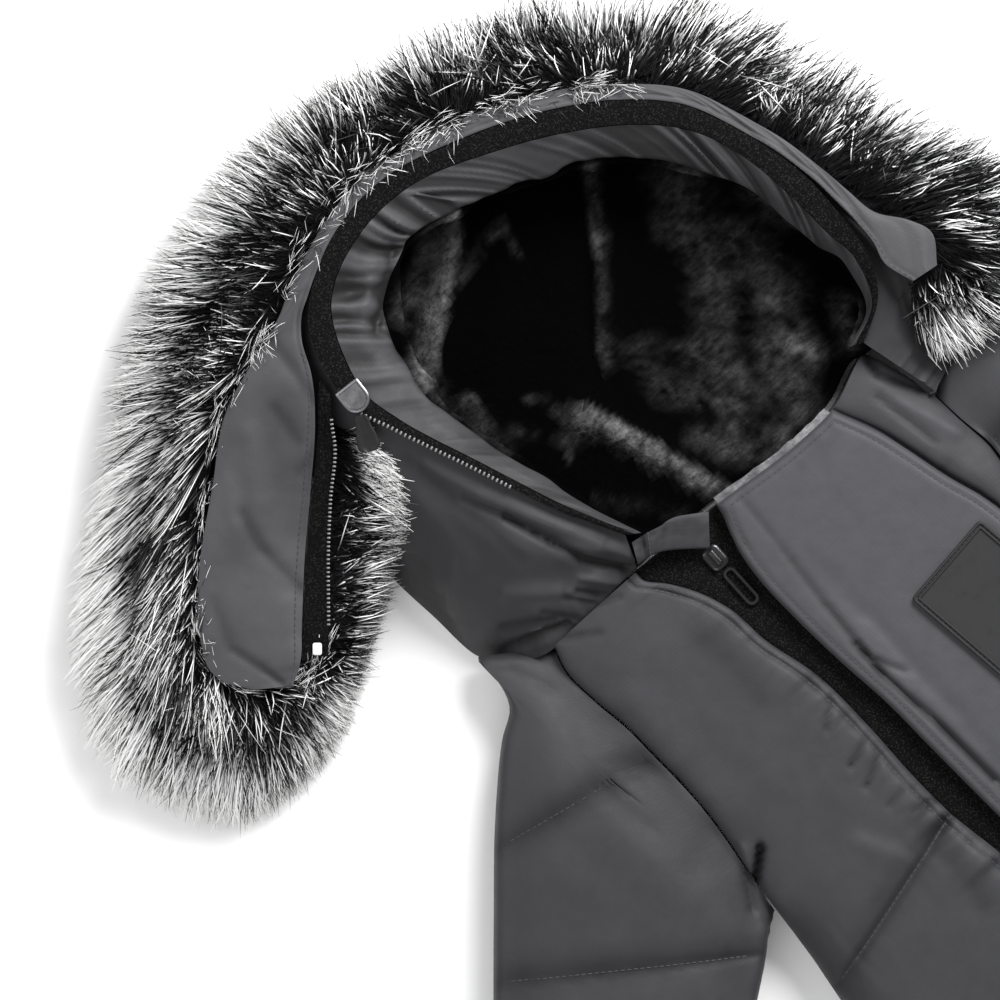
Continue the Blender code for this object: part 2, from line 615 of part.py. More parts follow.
def hood_shell(shell):
    """Two side panels and a crown panel, which meet in two seams."""
    s = np.linspace(0, 1, STATIONS)
    outer = hood_profile(s)
    inner = hood_inside(outer, SHELL_WALL)
    seams = np.searchsorted(s, [0.42, 0.66])
    cuts = {
        "hood_side_right": (0, seams[0]), "hood_crown": (seams[0], seams[1]),
        "hood_side_left": (seams[1], STATIONS - 1),
    }
    for name, (first, last) in cuts.items():
        out, ins = outer[first:last + 1].copy(), inner[first:last + 1].copy()
        for rows in (out, ins):
            for end, near in ((0, 1), (-1, -2)):
                step = rows[near] - rows[end]
                length = np.linalg.norm(step, axis=-1, keepdims=True)
                rows[end] += step / np.maximum(length, 1e-6) * SEAM_GAP / 2
        wall(name, out, ins, shell)


def hood_back(shell):
    y = np.concatenate([np.linspace(19.6, 190, 10), [202, 213, 222, 227]])
    x = across(read(HOOD_FLOOR, "left", y), read(HOOD_FLOOR, "right", y),
               edge_shares(9))
    yy = np.broadcast_to(y[:, None], x.shape)
    slab("hood_back", np.stack([x, yy, np.zeros_like(x)], -1),
         np.stack([x, yy, np.full_like(x, HOOD_FLOOR_WALL)], -1), shell)


def collar_frame(s):
    """The rim, the tape's inner edge and the facing's inner edge, all round."""
    rim, inner = points(OPENING, "rim", s), points(OPENING, "inner", s)
    step = inner - rim
    length = np.linalg.norm(step, axis=1)
    share = np.minimum(read(OPENING, "tape", s) / length, 0.8)
    middle = rim + step * share[:, None]
    middle[:, 2] = rim[:, 2] - 1.2
    return rim, middle, inner


def hood_tape(tape):
    s = np.linspace(0, 1, STATIONS)
    rim, middle, _ = collar_frame(s)
    share = np.array([0, 1.0])[None, :, None]
    high = rim[:, None] * (1 - share) + middle[:, None] * share
    low = high - np.array([0, 0, COLLAR_WALL])
    slab("hood_zip_tape", low, high, tape)


def hood_facing(shell):
    """The gathered strip between the tape and the lining, with its puckers."""
    s = np.linspace(0, 1, STATIONS)
    _, middle, inner = collar_frame(s)
    step = inner - middle
    length = np.linalg.norm(step, axis=1)[:, None]
    start = middle + step / length * SEAM_GAP * 1.5
    share = np.array([0, 0.5, 1.0])[None, :, None]
    high = start[:, None] * (1 - share) + inner[:, None] * share
    wave = 1 + np.cos(2 * math.pi * FACING_PUCKERS * s)[:, None]
    high[..., 2] += wave * np.array([0.1, 0.8, 0.6])[None] + np.array([0, 0.6, 0])
    low = high.copy()
    low[..., 2] -= COLLAR_WALL + 0.4
    slab("hood_facing", low, high, shell)


def hood_lining(plush):
    """The plush bowl: from the facing's inner edge down under the shell to the floor,
    and at the neck to the sack."""
    s = np.linspace(0, 1, STATIONS)
    inner, base = points(OPENING, "inner", s), points(OPENING, "base", s)
    shell_mid = hood_profile(s)[:, 4]
    centre = np.array([0.0, 110.0, 0.0])
    inward = centre - base
    inward[:, 2] = 0
    inward /= np.linalg.norm(inward, axis=1)[:, None]
    top = inner - np.array([0, 0, COLLAR_WALL + 2.6])
    low = base + inward * 15
    low[:, 1] = np.maximum(low[:, 1], read(NECK, "y", low[:, 0]) + 7)
    low[:, 2] = HOOD_FLOOR_WALL + LAY_GAP + LINING_WALL + 1.5
    control = shell_mid + inward * 13
    control[:, 1] = np.maximum(control[:, 1], read(NECK, "y", control[:, 0]) + 7)
    control[:, 2] = np.minimum(control[:, 2], top[:, 2] - 6) * 0.8
    t = np.linspace(0, 1, LINING_STEPS)[None, :, None]
    curve = (1 - t) ** 2 * top[:, None] + 2 * t * (1 - t) * control[:, None] + t * t * (
        low[:, None])
    # The neck closes the loop with short sections that rise from the floor.
    u = np.linspace(0, 1, NECK_SECTIONS + 2)[1:-1, None]
    first, last = curve[-1, -1], curve[0, -1]
    foot = first * (1 - u) + last * u
    foot[:, 1] = read(NECK, "y", foot[:, 0]) + 8
    lip = foot + np.array([0, -3.0, 3.0])
    share = np.linspace(0, 1, LINING_STEPS)[None, :, None]
    neck = lip[:, None] * (1 - share) + foot[:, None] * share
    for k, ends in ((0, curve[-1]), (-1, curve[0])):
        neck[k] = neck[k] * 0.6 + ends * 0.4
        neck[k, :, 1] = np.maximum(neck[k, :, 1], read(NECK, "y", neck[k, :, 0]) + 5)
    loop = np.concatenate([curve, neck])
    pole = np.array([2.0, 105.0, HOOD_FLOOR_WALL + LAY_GAP + LINING_WALL])
    floor = [loop[:, -1:] * (1 - t) + pole * t for t in (0.4, 1.0)]
    upper = np.concatenate([loop, *floor], 1)
    normal = normals(np.concatenate([upper[-1:], upper, upper[:1]]))[1:-1]
    up = np.sign(normal[:, -2, 2].mean())
    lower = upper - normal * up * LINING_WALL
    lower[:, -2:] = upper[:, -2:] - np.array([0, 0, LINING_WALL])
    lower[..., 2] = np.maximum(lower[..., 2], HOOD_FLOOR_WALL + LAY_GAP)
    wall("hood_lining", upper, lower, plush, around=True)


# ---------------------------------------------------------------- fur trim


def beside_rim(places, distance):
    """The places' nearest points of the hood's rim, moved outwards by a distance."""
    rim = points(OPENING, "rim", np.linspace(0, 1, STATIONS))
    start, step = rim[:-1], np.diff(rim, axis=0)
    away = places[:, None, :2] - start[None, :, :2]
    t = (away * step[None, :, :2]).sum(-1) / (step[:, :2] ** 2).sum(-1)[None]
    t = t.clip(0, 1)[..., None]
    near = start[None] + step[None] * t
    best = np.linalg.norm(near - places[:, None], axis=-1).argmin(1)
    rows = np.arange(len(places))
    tangent = step[best] / np.linalg.norm(step[best, :2], axis=1)[:, None]
    outward = np.stack([-tangent[:, 1], tangent[:, 0], np.zeros(len(places))], -1)
    return near[rows, best] + outward * distance


def trim_strip(shell):
    s = np.concatenate([np.linspace(0, 0.94, 42), [0.955, 0.97, 0.98, 0.99, 1.0]])
    high = grid(STRIP, "outer", "inner", s, 3)
    zipped = (np.clip((s - 0.37) / 0.06, 0, 1) * np.clip((0.97 - s) / 0.06, 0, 1))[:, None]
    edge = high[:, -1]
    high[:, -1] = edge * (1 - zipped) + beside_rim(edge, STRIP_GAP) * zipped
    high[:, 1] = (high[:, 0] + high[:, 2]) / 2
    high[:, 1, 2] += 1.2
    low = high - np.array([0, 0, TRIM_WALL])
    slab("trim_strip", low, high, shell)


def fur_trim(fur):
    """The fur's whole bulk out to its tips, flat where it rests."""
    s = np.linspace(0, 1, 60)
    outer = np.stack([read(FUR, "outer_x", s), read(FUR, "outer_y", s)], -1)
    inner = np.stack([read(FUR, "inner_x", s), read(FUR, "inner_y", s)], -1)
    towards = (inner - outer) / np.linalg.norm(inner - outer, axis=1)[:, None]
    inner += towards * FUR_SEWN * ((s - 0.02) / 0.06).clip(0, 1)[:, None]
    crest, edge = read(FUR, "crest", s), read(FUR, "outer_top", s)
    low = np.maximum(read(FUR, "low", s), 0)
    clumps = 1 + 0.05 * np.sin(47 * s + 1.2 * np.sin(19 * s))
    share = np.array([0.0, 0.07, 0.15, 0.26, 0.52, 0.74, 0.92, 1.0])
    rise = np.array([0.92, 0.97, 0.99, 1.0, 0.97, 0.84, 0.60, 0.30])
    xy = inner[:, None] * (1 - share[None, :, None]) + outer[:, None] * (
        share[None, :, None])
    tips = (outer - inner)[:, None] * (share ** 4)[None, :, None] * (
        (clumps - 1)[:, None, None])
    xy = xy + tips
    top = low[:, None] + (crest - low)[:, None] * rise[None]
    top[:, -2] = low + (edge - low) * 1.0
    top[:, -1] = low + (edge - low) * 0.55
    bottom = np.repeat(low[:, None], len(share), 1)
    bottom[:, -1] += 2.0
    # Where the fur starts up on the crown, its underside clears the shell's curve.
    over = np.maximum(read(FUR, "over", s), 0.1)
    along = share * np.linalg.norm(outer - inner, axis=1)[:, None] / over[:, None]
    clear = np.sqrt((1 - along ** 2).clip(0)) * (over / 8).clip(0, 1)[:, None]
    bottom += clear * (top[:, :1] - 3.5 - low[:, None])
    slab("fur_trim", np.concatenate([xy, bottom[..., None]], -1),
         np.concatenate([xy, top[..., None]], -1), fur)


def trim_tape(tape):
    s = np.linspace(0, 1, 14)
    high = grid(TRIM_TAPE, "edge", "teeth", s, 2)
    slab("trim_zip_tape", high - np.array([0, 0, TAPE_WALL]), high, tape)


# ---------------------------------------------------------------- small pieces


def neck_tab(shell):
    s = np.linspace(0, 1, 7)
    high = grid(TAB, "down", "up", s, 4)
    high[:, 1:3, 2] += 1.2
    low = high - np.array([0, 0, TAB_WALL])
    low[:, 1:3, 2] -= 0.4
    slab("neck_tab", low, high, shell)


def rounded_plate(width, length, radius):
    """A plate's outline from the origin down in Y, centred in X."""
    return rounded_rectangle(width, length, radius) - np.array([width / 2, 0])


def loop(name, outline, hole, low, high, finish_material, pivot):
    """A flat ring between two outlines with as many points, turning about its pivot."""
    def level(z):
        rings = [np.column_stack([ring, np.full(len(ring), z)]) for ring in (outline, hole)]
        return np.stack(rings, 1)

    wall(name, level(high), level(low), finish_material, around=True, pivot=pivot)


def front_slider(metal):
    x, y = SLIDER
    low = TAPE_Z + TAPE_WALL + LAY_GAP
    body = turned(rounded_plate(9.5, 12, 3), 0, (x, y + 6.6))
    extrude("front_slider", body, low, low + SLIDER_HEIGHT, metal)
    outline = turned(rounded_plate(6.6, PULL_LENGTH, 3.0), 0, (x, y - 6.5))
    hole = turned(rounded_plate(3.4, PULL_LENGTH - 3.2, 1.5), 0, (x, y - 8.1))
    pivot = (x, y - 6.5, low + PULL_WALL / 2 + 0.3)
    loop("front_pull", outline, hole, low + 0.3, low + 0.3 + PULL_WALL, metal, pivot)


def hood_slider(metal, rubber):
    x, y = HOOD_SLIDER
    body = turned(rounded_plate(13, 14, 5.5), HOOD_SLIDER_TURN, (x, y))
    body += -7 * np.array([math.sin(HOOD_SLIDER_TURN), -math.cos(HOOD_SLIDER_TURN)])
    extrude("hood_slider", body, HOOD_SLIDER_Z, HOOD_SLIDER_Z + SLIDER_HEIGHT, metal)
    away = np.array([math.cos(HOOD_PULL_TURN), math.sin(HOOD_PULL_TURN)])
    start = np.array([x, y]) + away * 8.2
    width = np.array([-away[1], away[0]])
    rows = []
    for reach, half in ((0, 2.4), (1.5, 3.2), (5, 3.6), (12, 5.0), (15.5, 4.8), (17, 3.6)):
        place = start + away * reach
        drop = HOOD_SLIDER_Z + 2.4 - reach * 0.10
        rows.append([[*(place + width * half * side), drop] for side in (-1, 1)])
    high = np.array(rows)
    pivot = (*start, HOOD_SLIDER_Z + 1.5)
    slab("hood_pull", high - np.array([0, 0, 2.0]), high, rubber, pivot=pivot)


def end_stop(white):
    """The box that closes the loose tape's lower end, beside its teeth."""
    x, y = END_STOP
    outline = turned(rounded_plate(4.2, 5.6, 1.0), math.radians(-42), (x, y))
    extrude("end_stop", outline, END_STOP_Z, END_STOP_Z + 2.2, white)


def main():
    for old in list(bpy.data.objects):
        bpy.data.objects.remove(old)
    shell = material("padded nylon", (0.098, 0.098, 0.107), 0.55)
    plush = material("plush", (0.010, 0.010, 0.011), 0.95)
    tape = material("woven tape", (0.013, 0.013, 0.014), 0.8)
    fur = material("fur", (0.16, 0.16, 0.165), 0.9)
    rubber = material("rubber", (0.052, 0.052, 0.054), 0.5)
    black_metal = material("black enamel", (0.012, 0.012, 0.013), 0.25, 0.6)
    metal = material("grey metal", (0.17, 0.17, 0.18), 0.35, 1.0)
    white = material("white plastic", (0.82, 0.82, 0.80), 0.4)
    back_panel(shell)
    front_right(shell)
    front_left(shell)
    zip_tapes(tape)
    flap(shell, plush)
    rubber_label(rubber)
    sleeve("sleeve_right", SLEEVE_RIGHT, -1, shell)
    sleeve("sleeve_left", SLEEVE_LEFT, 1, shell)
    hood_shell(shell)
    hood_back(shell)
    hood_tape(tape)
    hood_facing(shell)
    hood_lining(plush)
    trim_strip(shell)
    fur_trim(fur)
    trim_tape(tape)
    neck_tab(shell)
    front_slider(black_metal)
    hood_slider(metal, rubber)
    end_stop(white)


main()
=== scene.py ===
"""The dressed model of a baby bunting bag that lies on its back with its hood open.

Lengths are millimetres until a mesh is made. X runs to the wearer's left, Y towards the
hood and Z up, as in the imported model, whose named sizes and tables this script repeats.
"""
import functools
import itertools
import math

import bpy
import numpy as np
from mathutils import Matrix, Vector


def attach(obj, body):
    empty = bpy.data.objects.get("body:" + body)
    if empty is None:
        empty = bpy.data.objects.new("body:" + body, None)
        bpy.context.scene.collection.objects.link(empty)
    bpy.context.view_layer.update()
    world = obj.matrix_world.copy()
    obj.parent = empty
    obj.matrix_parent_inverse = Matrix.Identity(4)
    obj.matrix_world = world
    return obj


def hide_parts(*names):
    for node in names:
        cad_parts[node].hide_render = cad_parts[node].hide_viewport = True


MM = 0.001
UP = np.array([0, 0, 1.0])
SHARP_ANGLE = math.radians(60)

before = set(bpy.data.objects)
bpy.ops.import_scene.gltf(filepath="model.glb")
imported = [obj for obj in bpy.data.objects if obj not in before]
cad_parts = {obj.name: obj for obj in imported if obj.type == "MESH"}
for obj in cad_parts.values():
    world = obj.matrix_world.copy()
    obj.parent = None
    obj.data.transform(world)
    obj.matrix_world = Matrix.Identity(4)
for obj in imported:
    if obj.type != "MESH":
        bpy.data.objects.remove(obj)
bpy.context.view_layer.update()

SEAM_GAP = 0.3          # between pieces that are sewn together
LAY_GAP = 0.5           # between pieces that lie on each other

# Sack
NECK_Y = 19.0
CHEST_END = -205.0      # the cloth's folds are finest above this
SEAM_Z = 12.5           # the plane in which back and front meet
EDGE_WALL = 3.4         # each panel's thickness at the side seam
BACK_ROUND = 16.0
FRONT_ROUND = 34.0
QUILT_SEAMS = (-155.0, -238.0, -321.0, -404.0)
QUILT_SLOPE = 0.26      # the quilt seams drop this much per mm away from the centre
QUILT_DEPTH = 5.0
SEAM_ROLL = 9.5         # more thickness at the armholes and the neck than at the sides
GROOVE_FADE = 20.0      # the quilt seams run out this near the edge
UNDER_FLAP_Z = 29.0     # the left front's top where the flap lies on it
FLAP_ROLL = 9.0         # the left front rises beside the flap within this
PLACKET = 4.2           # from the right front's edge by the zip to its sewn seam
CHEST_ROWS = (2.4, 5.2)     # from the same edge to its two rows of stitches

# Zip, flap and label
ZIP_LEFT = 15.0         # from the flap's free edge to the left front's own edge
TAPE_Z = 26.0
TAPE_WALL = 1.5
FLAP_LINING_WALL = 2.2
FLAP_WALL = 5.0
FLAP_EDGE_WALL = 2.6
CREASE = (14.0, 5.0, 1.6)   # X, half width and depth of the flap's crease by the zip
CHEST_PRESS = 12.0      # the right front falls to the tape within this
CHEST_EDGE_Z = 29.5
TEETH_OFFSET = 2.0      # from the flap's free edge to the line where the tapes meet
TAPES_APART = 0.8
TEETH_Z = 27.9
FLAP_Z = UNDER_FLAP_Z + LAY_GAP + FLAP_LINING_WALL + SEAM_GAP    # its underside
ZIP_END = -410.0
FLAP_END = -430.0
FLAP_SEAM = 4.2         # from the flap's edge to its stitches
LABEL_WIDTH = 48.0
LABEL_LENGTH = 60.0
LABEL_WALL = 2.6
LABEL_CORNER = (34.7, -74.0)
LABEL_TURN = math.radians(7.0)

# Sleeves
SLEEVE_WALL = 9.0       # beside the sleeve's opening
SLEEVE_SLIT = 3.0       # between its two panels, which all but lie on each other
SLEEVE_BOX = 0.75       # below 1 the section is fuller than an ellipse
SLEEVE_POINTS = 108     # round each section
ARMHOLE_GAP = 0.8
CUFF_PLEATS = 6

# Hood
SHELL_WALL = 4.5
HOOD_ROWS = 48          # points of the outer shell from the rim to its lower edge
LINING_WALL = 3.2
LINING_STEPS = 6
FLOOR_SHARES = (0.15, 0.3, 0.45, 0.6, 0.8, 1.0)    # rows of the bowl's floor, to its middle
NECK_SECTIONS = 9
COLLAR_WALL = 1.8
FACING_PUCKERS = 13
OPEN_TEETH = (0.145, 0.31)   # where the tape's teeth stand free, by their place round it
HOOD_FLOOR_WALL = 4.5
FOLD_HEIGHT = 2.2
STATIONS = 4 * FACING_PUCKERS + 1   # sections round the hood's opening
HOOD_SEAMS = (0.42, 0.66)   # the crown panel's seams, by their place round the opening
STRIP_GAP = 0.5         # between the strip and the hood's tape where they are zipped
HOOD_REACH = 400.0      # the raster of the hood's heights spans this each way
HOOD_CELL = 2.0
UNDERFUR_REACH = 0.74   # the underfur's share of the way from the roots to the tips
PELT_CURVE = 2.2        # how late the underfur falls on its way out
PELT_DROP = 0.45        # its height at its end, as a share of the tips' height
TUFT = 24               # hairs to a tuft
EDGE_TUFT = 6
SHOULDER_LIFT = 43.0    # the underside of the fur's end, which lies on the shoulder

# Sliders and pulls
SLIDER = (-18.5, -1.0)
PULL_LENGTH = 21.0
PULL_WALL = 1.5
HOOD_SLIDER = (-91.0, 163.0)
HOOD_SLIDER_TURN = math.radians(-4)
HOOD_SLIDER_Z = 74.7
HOOD_PULL_TURN = math.radians(244)
GRIP_LENGTH = 17.0
END_STOP = (-178.6, 93.0)
END_STOP_Z = 47.95


def rows(text):
    """A table's rows of numbers, which commas part."""
    return [[float(number) for number in row.split()] for row in text.split(",")]


def columns(names, text):
    """A table's columns as arrays, by name."""
    return dict(zip(names.split(), np.array(rows(text)).T))


def hermite(t, a, b, slope_a, slope_b, span=1.0):
    """A cubic from a to b with the given slopes at its ends."""
    return ((1 + 2 * t) * (1 - t) ** 2 * a + t * (1 - t) ** 2 * span * slope_a
            + t * t * (3 - 2 * t) * b - t * t * (1 - t) * span * slope_b)


def smooth(at, knots, values):
    """Values at given places of a smooth curve through the knots."""
    at = np.clip(np.asarray(at, float), knots[0], knots[-1])
    slope = np.gradient(values, knots)
    i = np.clip(np.searchsorted(knots, at) - 1, 0, len(knots) - 2)
    span = knots[i + 1] - knots[i]
    return hermite((at - knots[i]) / span, values[i], values[i + 1], slope[i], slope[i + 1],
                   span)


def read(table, name, at):
    """A column of a table at places between its rows, whose first column rises."""
    knots = next(iter(table.values()))
    return smooth(at, knots, table[name])


def points(table, stem, at):
    """Points from the columns stem_x, stem_y and stem_z."""
    return np.stack([read(table, f"{stem}_{axis}", at) for axis in "xyz"], -1)


def grow(distance, width):
    """A straight rise from 0 at an edge to 1 at the width."""
    return np.clip(distance / width, 0, 1)


def crown(distance, radius):
    """A quarter circle's rise from 0 at an edge to 1 at the radius."""
    return np.sqrt(1 - (1 - grow(distance, radius)) ** 2)


def bell(distance, width):
    """A smooth hump of height 1 at distance 0."""
    return np.exp(-((distance / width) ** 2))


def between(a, b, share):
    """A grid of points whose rows run straight from a's points to b's."""
    share = np.asarray(share)[None, :, None]
    return a[:, None] * (1 - share) + b[:, None] * share


def curved(a, control, b, t):
    """A grid of points whose rows run on parabolas from a's points to b's."""
    t = np.asarray(t)[None, :, None]
    return ((1 - t) ** 2 * a[:, None] + 2 * t * (1 - t) * control[:, None]
            + t ** 2 * b[:, None])


def level(step):
    """Unit vectors along the steps in plan."""
    step = step.copy()
    step[:, 2] = 0
    return step / np.maximum(np.linalg.norm(step, axis=1), 1e-9)[:, None]


def lowered(grid, depth):
    """A grid's lower face, so far below it."""
    low = grid.copy()
    low[..., 2] -= depth
    return low


def plan(x, v):
    """A panel's rows and places in plan from each row's X."""
    vv = np.broadcast_to(v[:, None], x.shape)
    return vv, np.stack([x, sack_place(vv, x)], -1)


# The sack's outline and fullness by rows from the neck to the bottom, "thick" being 1
# where the edge is an armhole or the neck and 0 at the side seam.
SACK = columns("v left right puff thick", """
    -480 -62 62 17 0, -472 -88 88 22 0, -455 -108 108 29 0, -425 -121 121 35 0,
    -380 -128 128 37 0, -300 -128 128 38 0, -220 -121 121 38 0, -160 -112 112 38 0,
    -130 -107.5 108.5 37 0, -118 -106 108 36.5 1, -75 -99 105 36 1, -46 -99.6 109 35 1,
    -33 -100 107 34.5 1, -12 -102.8 105 33.5 1, 8 -103.4 98.8 32 1, 19 -100 94.5 31 1""")

# The right front's stitched edge beside the zip, the flap's free edge that hides the
# teeth, and the flap's sewn edge.
ZIP = columns("v chest flap sewn", """
    -480 -3 0 92, -425 -3 0 96, -404 -8.5 0 97, -330 -9 0 97, -186 -12.6 -1.5 97,
    -152 -17.6 -3 96.5, -129 -18.6 -4 96, -103 -18.3 -5 95, -71 -20.1 -8.4 93,
    -43 -26.9 -10.2 84.5, -22 -29.2 -10.5 79.5, -5 -35.8 -8.6 75, 6 -43 -5.5 71,
    13.6 -49.6 -3 68, 19 -50 -2 66""")

# The neck edge's Y across the sack.
NECK = columns("x y", """
    -130 19, -47 19, 0 17, 45 13, 68 14, 93 23, 130 23""")

# Round the hood's opening, from its front end on the wearer's right over the crown to
# the other front end: the rim, the inner edge of the facing, the lower edge of the
# outer shell, how far the shell bulges, and the width of the zip tape there.
OPENING = columns("s rim_x rim_y rim_z inner_x inner_y inner_z base_x base_y base_z "
                  "bulge tape", """
    0 -42 35 49 -36 31 43 -48 20.5 31 2 4.5, 0.04 -50 50 57 -42 47 50 -66 19.8 29.5 6 4.5,
    0.09 -57.5 65 63 -46.5 62 55 -86 19.8 27 10 4.5,
    0.15 -66 86 68 -52.5 85 58 -105 24 24 12 4.5,
    0.2 -74.5 108 71 -60 112 60 -119 33.5 11 12 4.5,
    0.24 -81 124 72 -63.5 130 61 -129 43 1 12 4.5,
    0.28 -88 142 73 -64.5 147 61 -132 66 0 12 5.5, 0.32 -95 163 74 -58 164 61 -134.5 98 0 12 9,
    0.36 -90.5 190 74 -45 185 60 -131 148 0 12 12,
    0.41 -76 210 73.5 -30 198 59 -117 193 0 11 12.5,
    0.47 -40 226 73 -8 197 58 -76 226 0 9 12.8, 0.51 -14 227 72 12 191 57 -22 238 0 8 13,
    0.57 31 214 71 36 180 56 36 234 0 8 13, 0.63 66 197 70 61 169 55 79 217 0 8 13.2,
    0.68 89 181 69 82 151 54 106 194 0 8 13.5, 0.73 107 162 68 96 129 53 124 165 0 8 14,
    0.77 116 143 67 104 113 52 132 140 0 8 15, 0.82 126 108 65 107.5 90 51 138 104 0 7 15.5,
    0.87 127 79 63 109.5 74 50 140 72 0 7 12.5, 0.92 124 55 60 114 59 49 136 44 0 7 8,
    0.96 115 38 53 108 38 45 128 0 14 5 5, 1 97 27 44 91 30 40 107 -12 30.5 3 4""")

# The lower part of the hood's back, which lies flat: its sides by rows.
HOOD_FLOOR = columns("y left right", """
    19.6 -97 72, 26 -103 88, 32 -109 100, 40 -118 114, 60 -124 129, 100 -128 132,
    140 -125.5 124, 165 -121 115, 190 -111 97, 210 -91 72, 222 -64 47, 227 -45 20""")

# The strip that carries the fur: unzipped and laid out from its free end to the hood's
# slider, then along the outside of the rim to its other end.
STRIP = columns("s outer_x outer_y outer_z inner_x inner_y inner_z", """
    0 -215 97 47 -200 86 47, 0.03 -223 111 48 -191 91 48, 0.08 -216 131 50 -178 104 50,
    0.15 -194 155 54 -156 126 55, 0.22 -166 177 59 -133 147 62, 0.29 -138 198 66 -111 168 72,
    0.34 -113.5 206.5 71 -98.5 184 76, 0.38 -95 212 72 -88 204 75.5,
    0.43 -75 221.5 72 -71 216.5 74.5, 0.49 -41 232.5 71 -38 228 74,
    0.54 -12.5 234 70 -13 229 73, 0.61 36 221.5 70 33 216 72, 0.68 71.5 203.5 69 67.5 199 71,
    0.75 94.5 186 68 91 183 70, 0.82 113 166 67 109 163.5 69, 0.88 123 143 66 118.5 141 68,
    0.93 133 109 65 128.5 107 67, 0.955 136.5 84 64.5 130 84 66.5, 0.97 139 68 64 130 69 66,
    0.98 148 55 63.5 129.5 58 65, 0.99 152 43 63 127 47 64, 1 144 31 62 131 33 63""")

# The zip tape on the strip's loose part, from its end to the slider, with its teeth's
# line.
TRIM_TAPE = columns("s edge_x edge_y edge_z teeth_x teeth_y teeth_z", """
    0 -189.5 91.5 46 -180.5 83.5 46, 0.12 -177.5 103 49 -168 97 49,
    0.35 -155.6 124.8 54 -148 119 54, 0.58 -133 145.6 61 -130 137 61,
    0.8 -112 165 69 -112.5 153 69, 0.92 -103.5 174 72.5 -105.5 163 72.5,
    1 -97.2 180 74.5 -98.2 171.5 74.5""")

# The neck tab, which covers the zip's upper end, by its two long edges.
TAB = columns("s up_x up_y up_z down_x down_y down_z", """
    0 -42.2 30.6 44.2 -46.8 21.2 40.6, 0.14 -35 29.4 44.2 -41 20.4 41,
    0.3 -28.5 27.6 43 -36 18.8 39.5, 0.62 -20.5 26.2 40 -28.5 13.8 37.5,
    1 -6.8 17.4 37.5 -17.6 4.6 36""")

# Each sleeve's two edges from the armhole to the cuff, and its height.
SLEEVE_RIGHT = columns("s top_x top_y low_x low_y height", """
    0 -100.5 18.7 -108.5 -139 27, 0.06 -110 25.5 -109.8 -140 30,
    0.12 -121 33 -111.2 -141.5 31.5, 0.16 -130 38.5 -112.3 -142 32,
    0.2 -130 26 -113.7 -143 34.5, 0.25 -133.5 13 -115 -144.5 37, 0.32 -147 3 -117.5 -146 39,
    0.46 -176 -24 -122 -150 39, 0.6 -203 -53 -131 -157 38, 0.8 -245 -99 -168 -183 37,
    0.93 -274 -131 -199 -204 33, 1 -289 -150 -220 -212 25""")
SLEEVE_LEFT = columns("s top_x top_y low_x low_y height", """
    0 105.6 -14 110.5 -139 27, 0.06 112 -10 111.8 -140 31, 0.19 129 -5 115.5 -143 35,
    0.32 148 -8 119.5 -146 37, 0.46 177 -28 124 -150 38, 0.6 205 -55 133 -157 38,
    0.8 247 -101 170 -183 37, 0.93 276 -133 201 -204 33, 1 291 -152 222 -212 25""")


def edge_shares(count):
    """Shares of a width, closer together near the edges."""
    return (1 - np.cos(math.pi * np.linspace(0, 1, count))) / 2


# ---------------------------------------------------------------- dressing tables

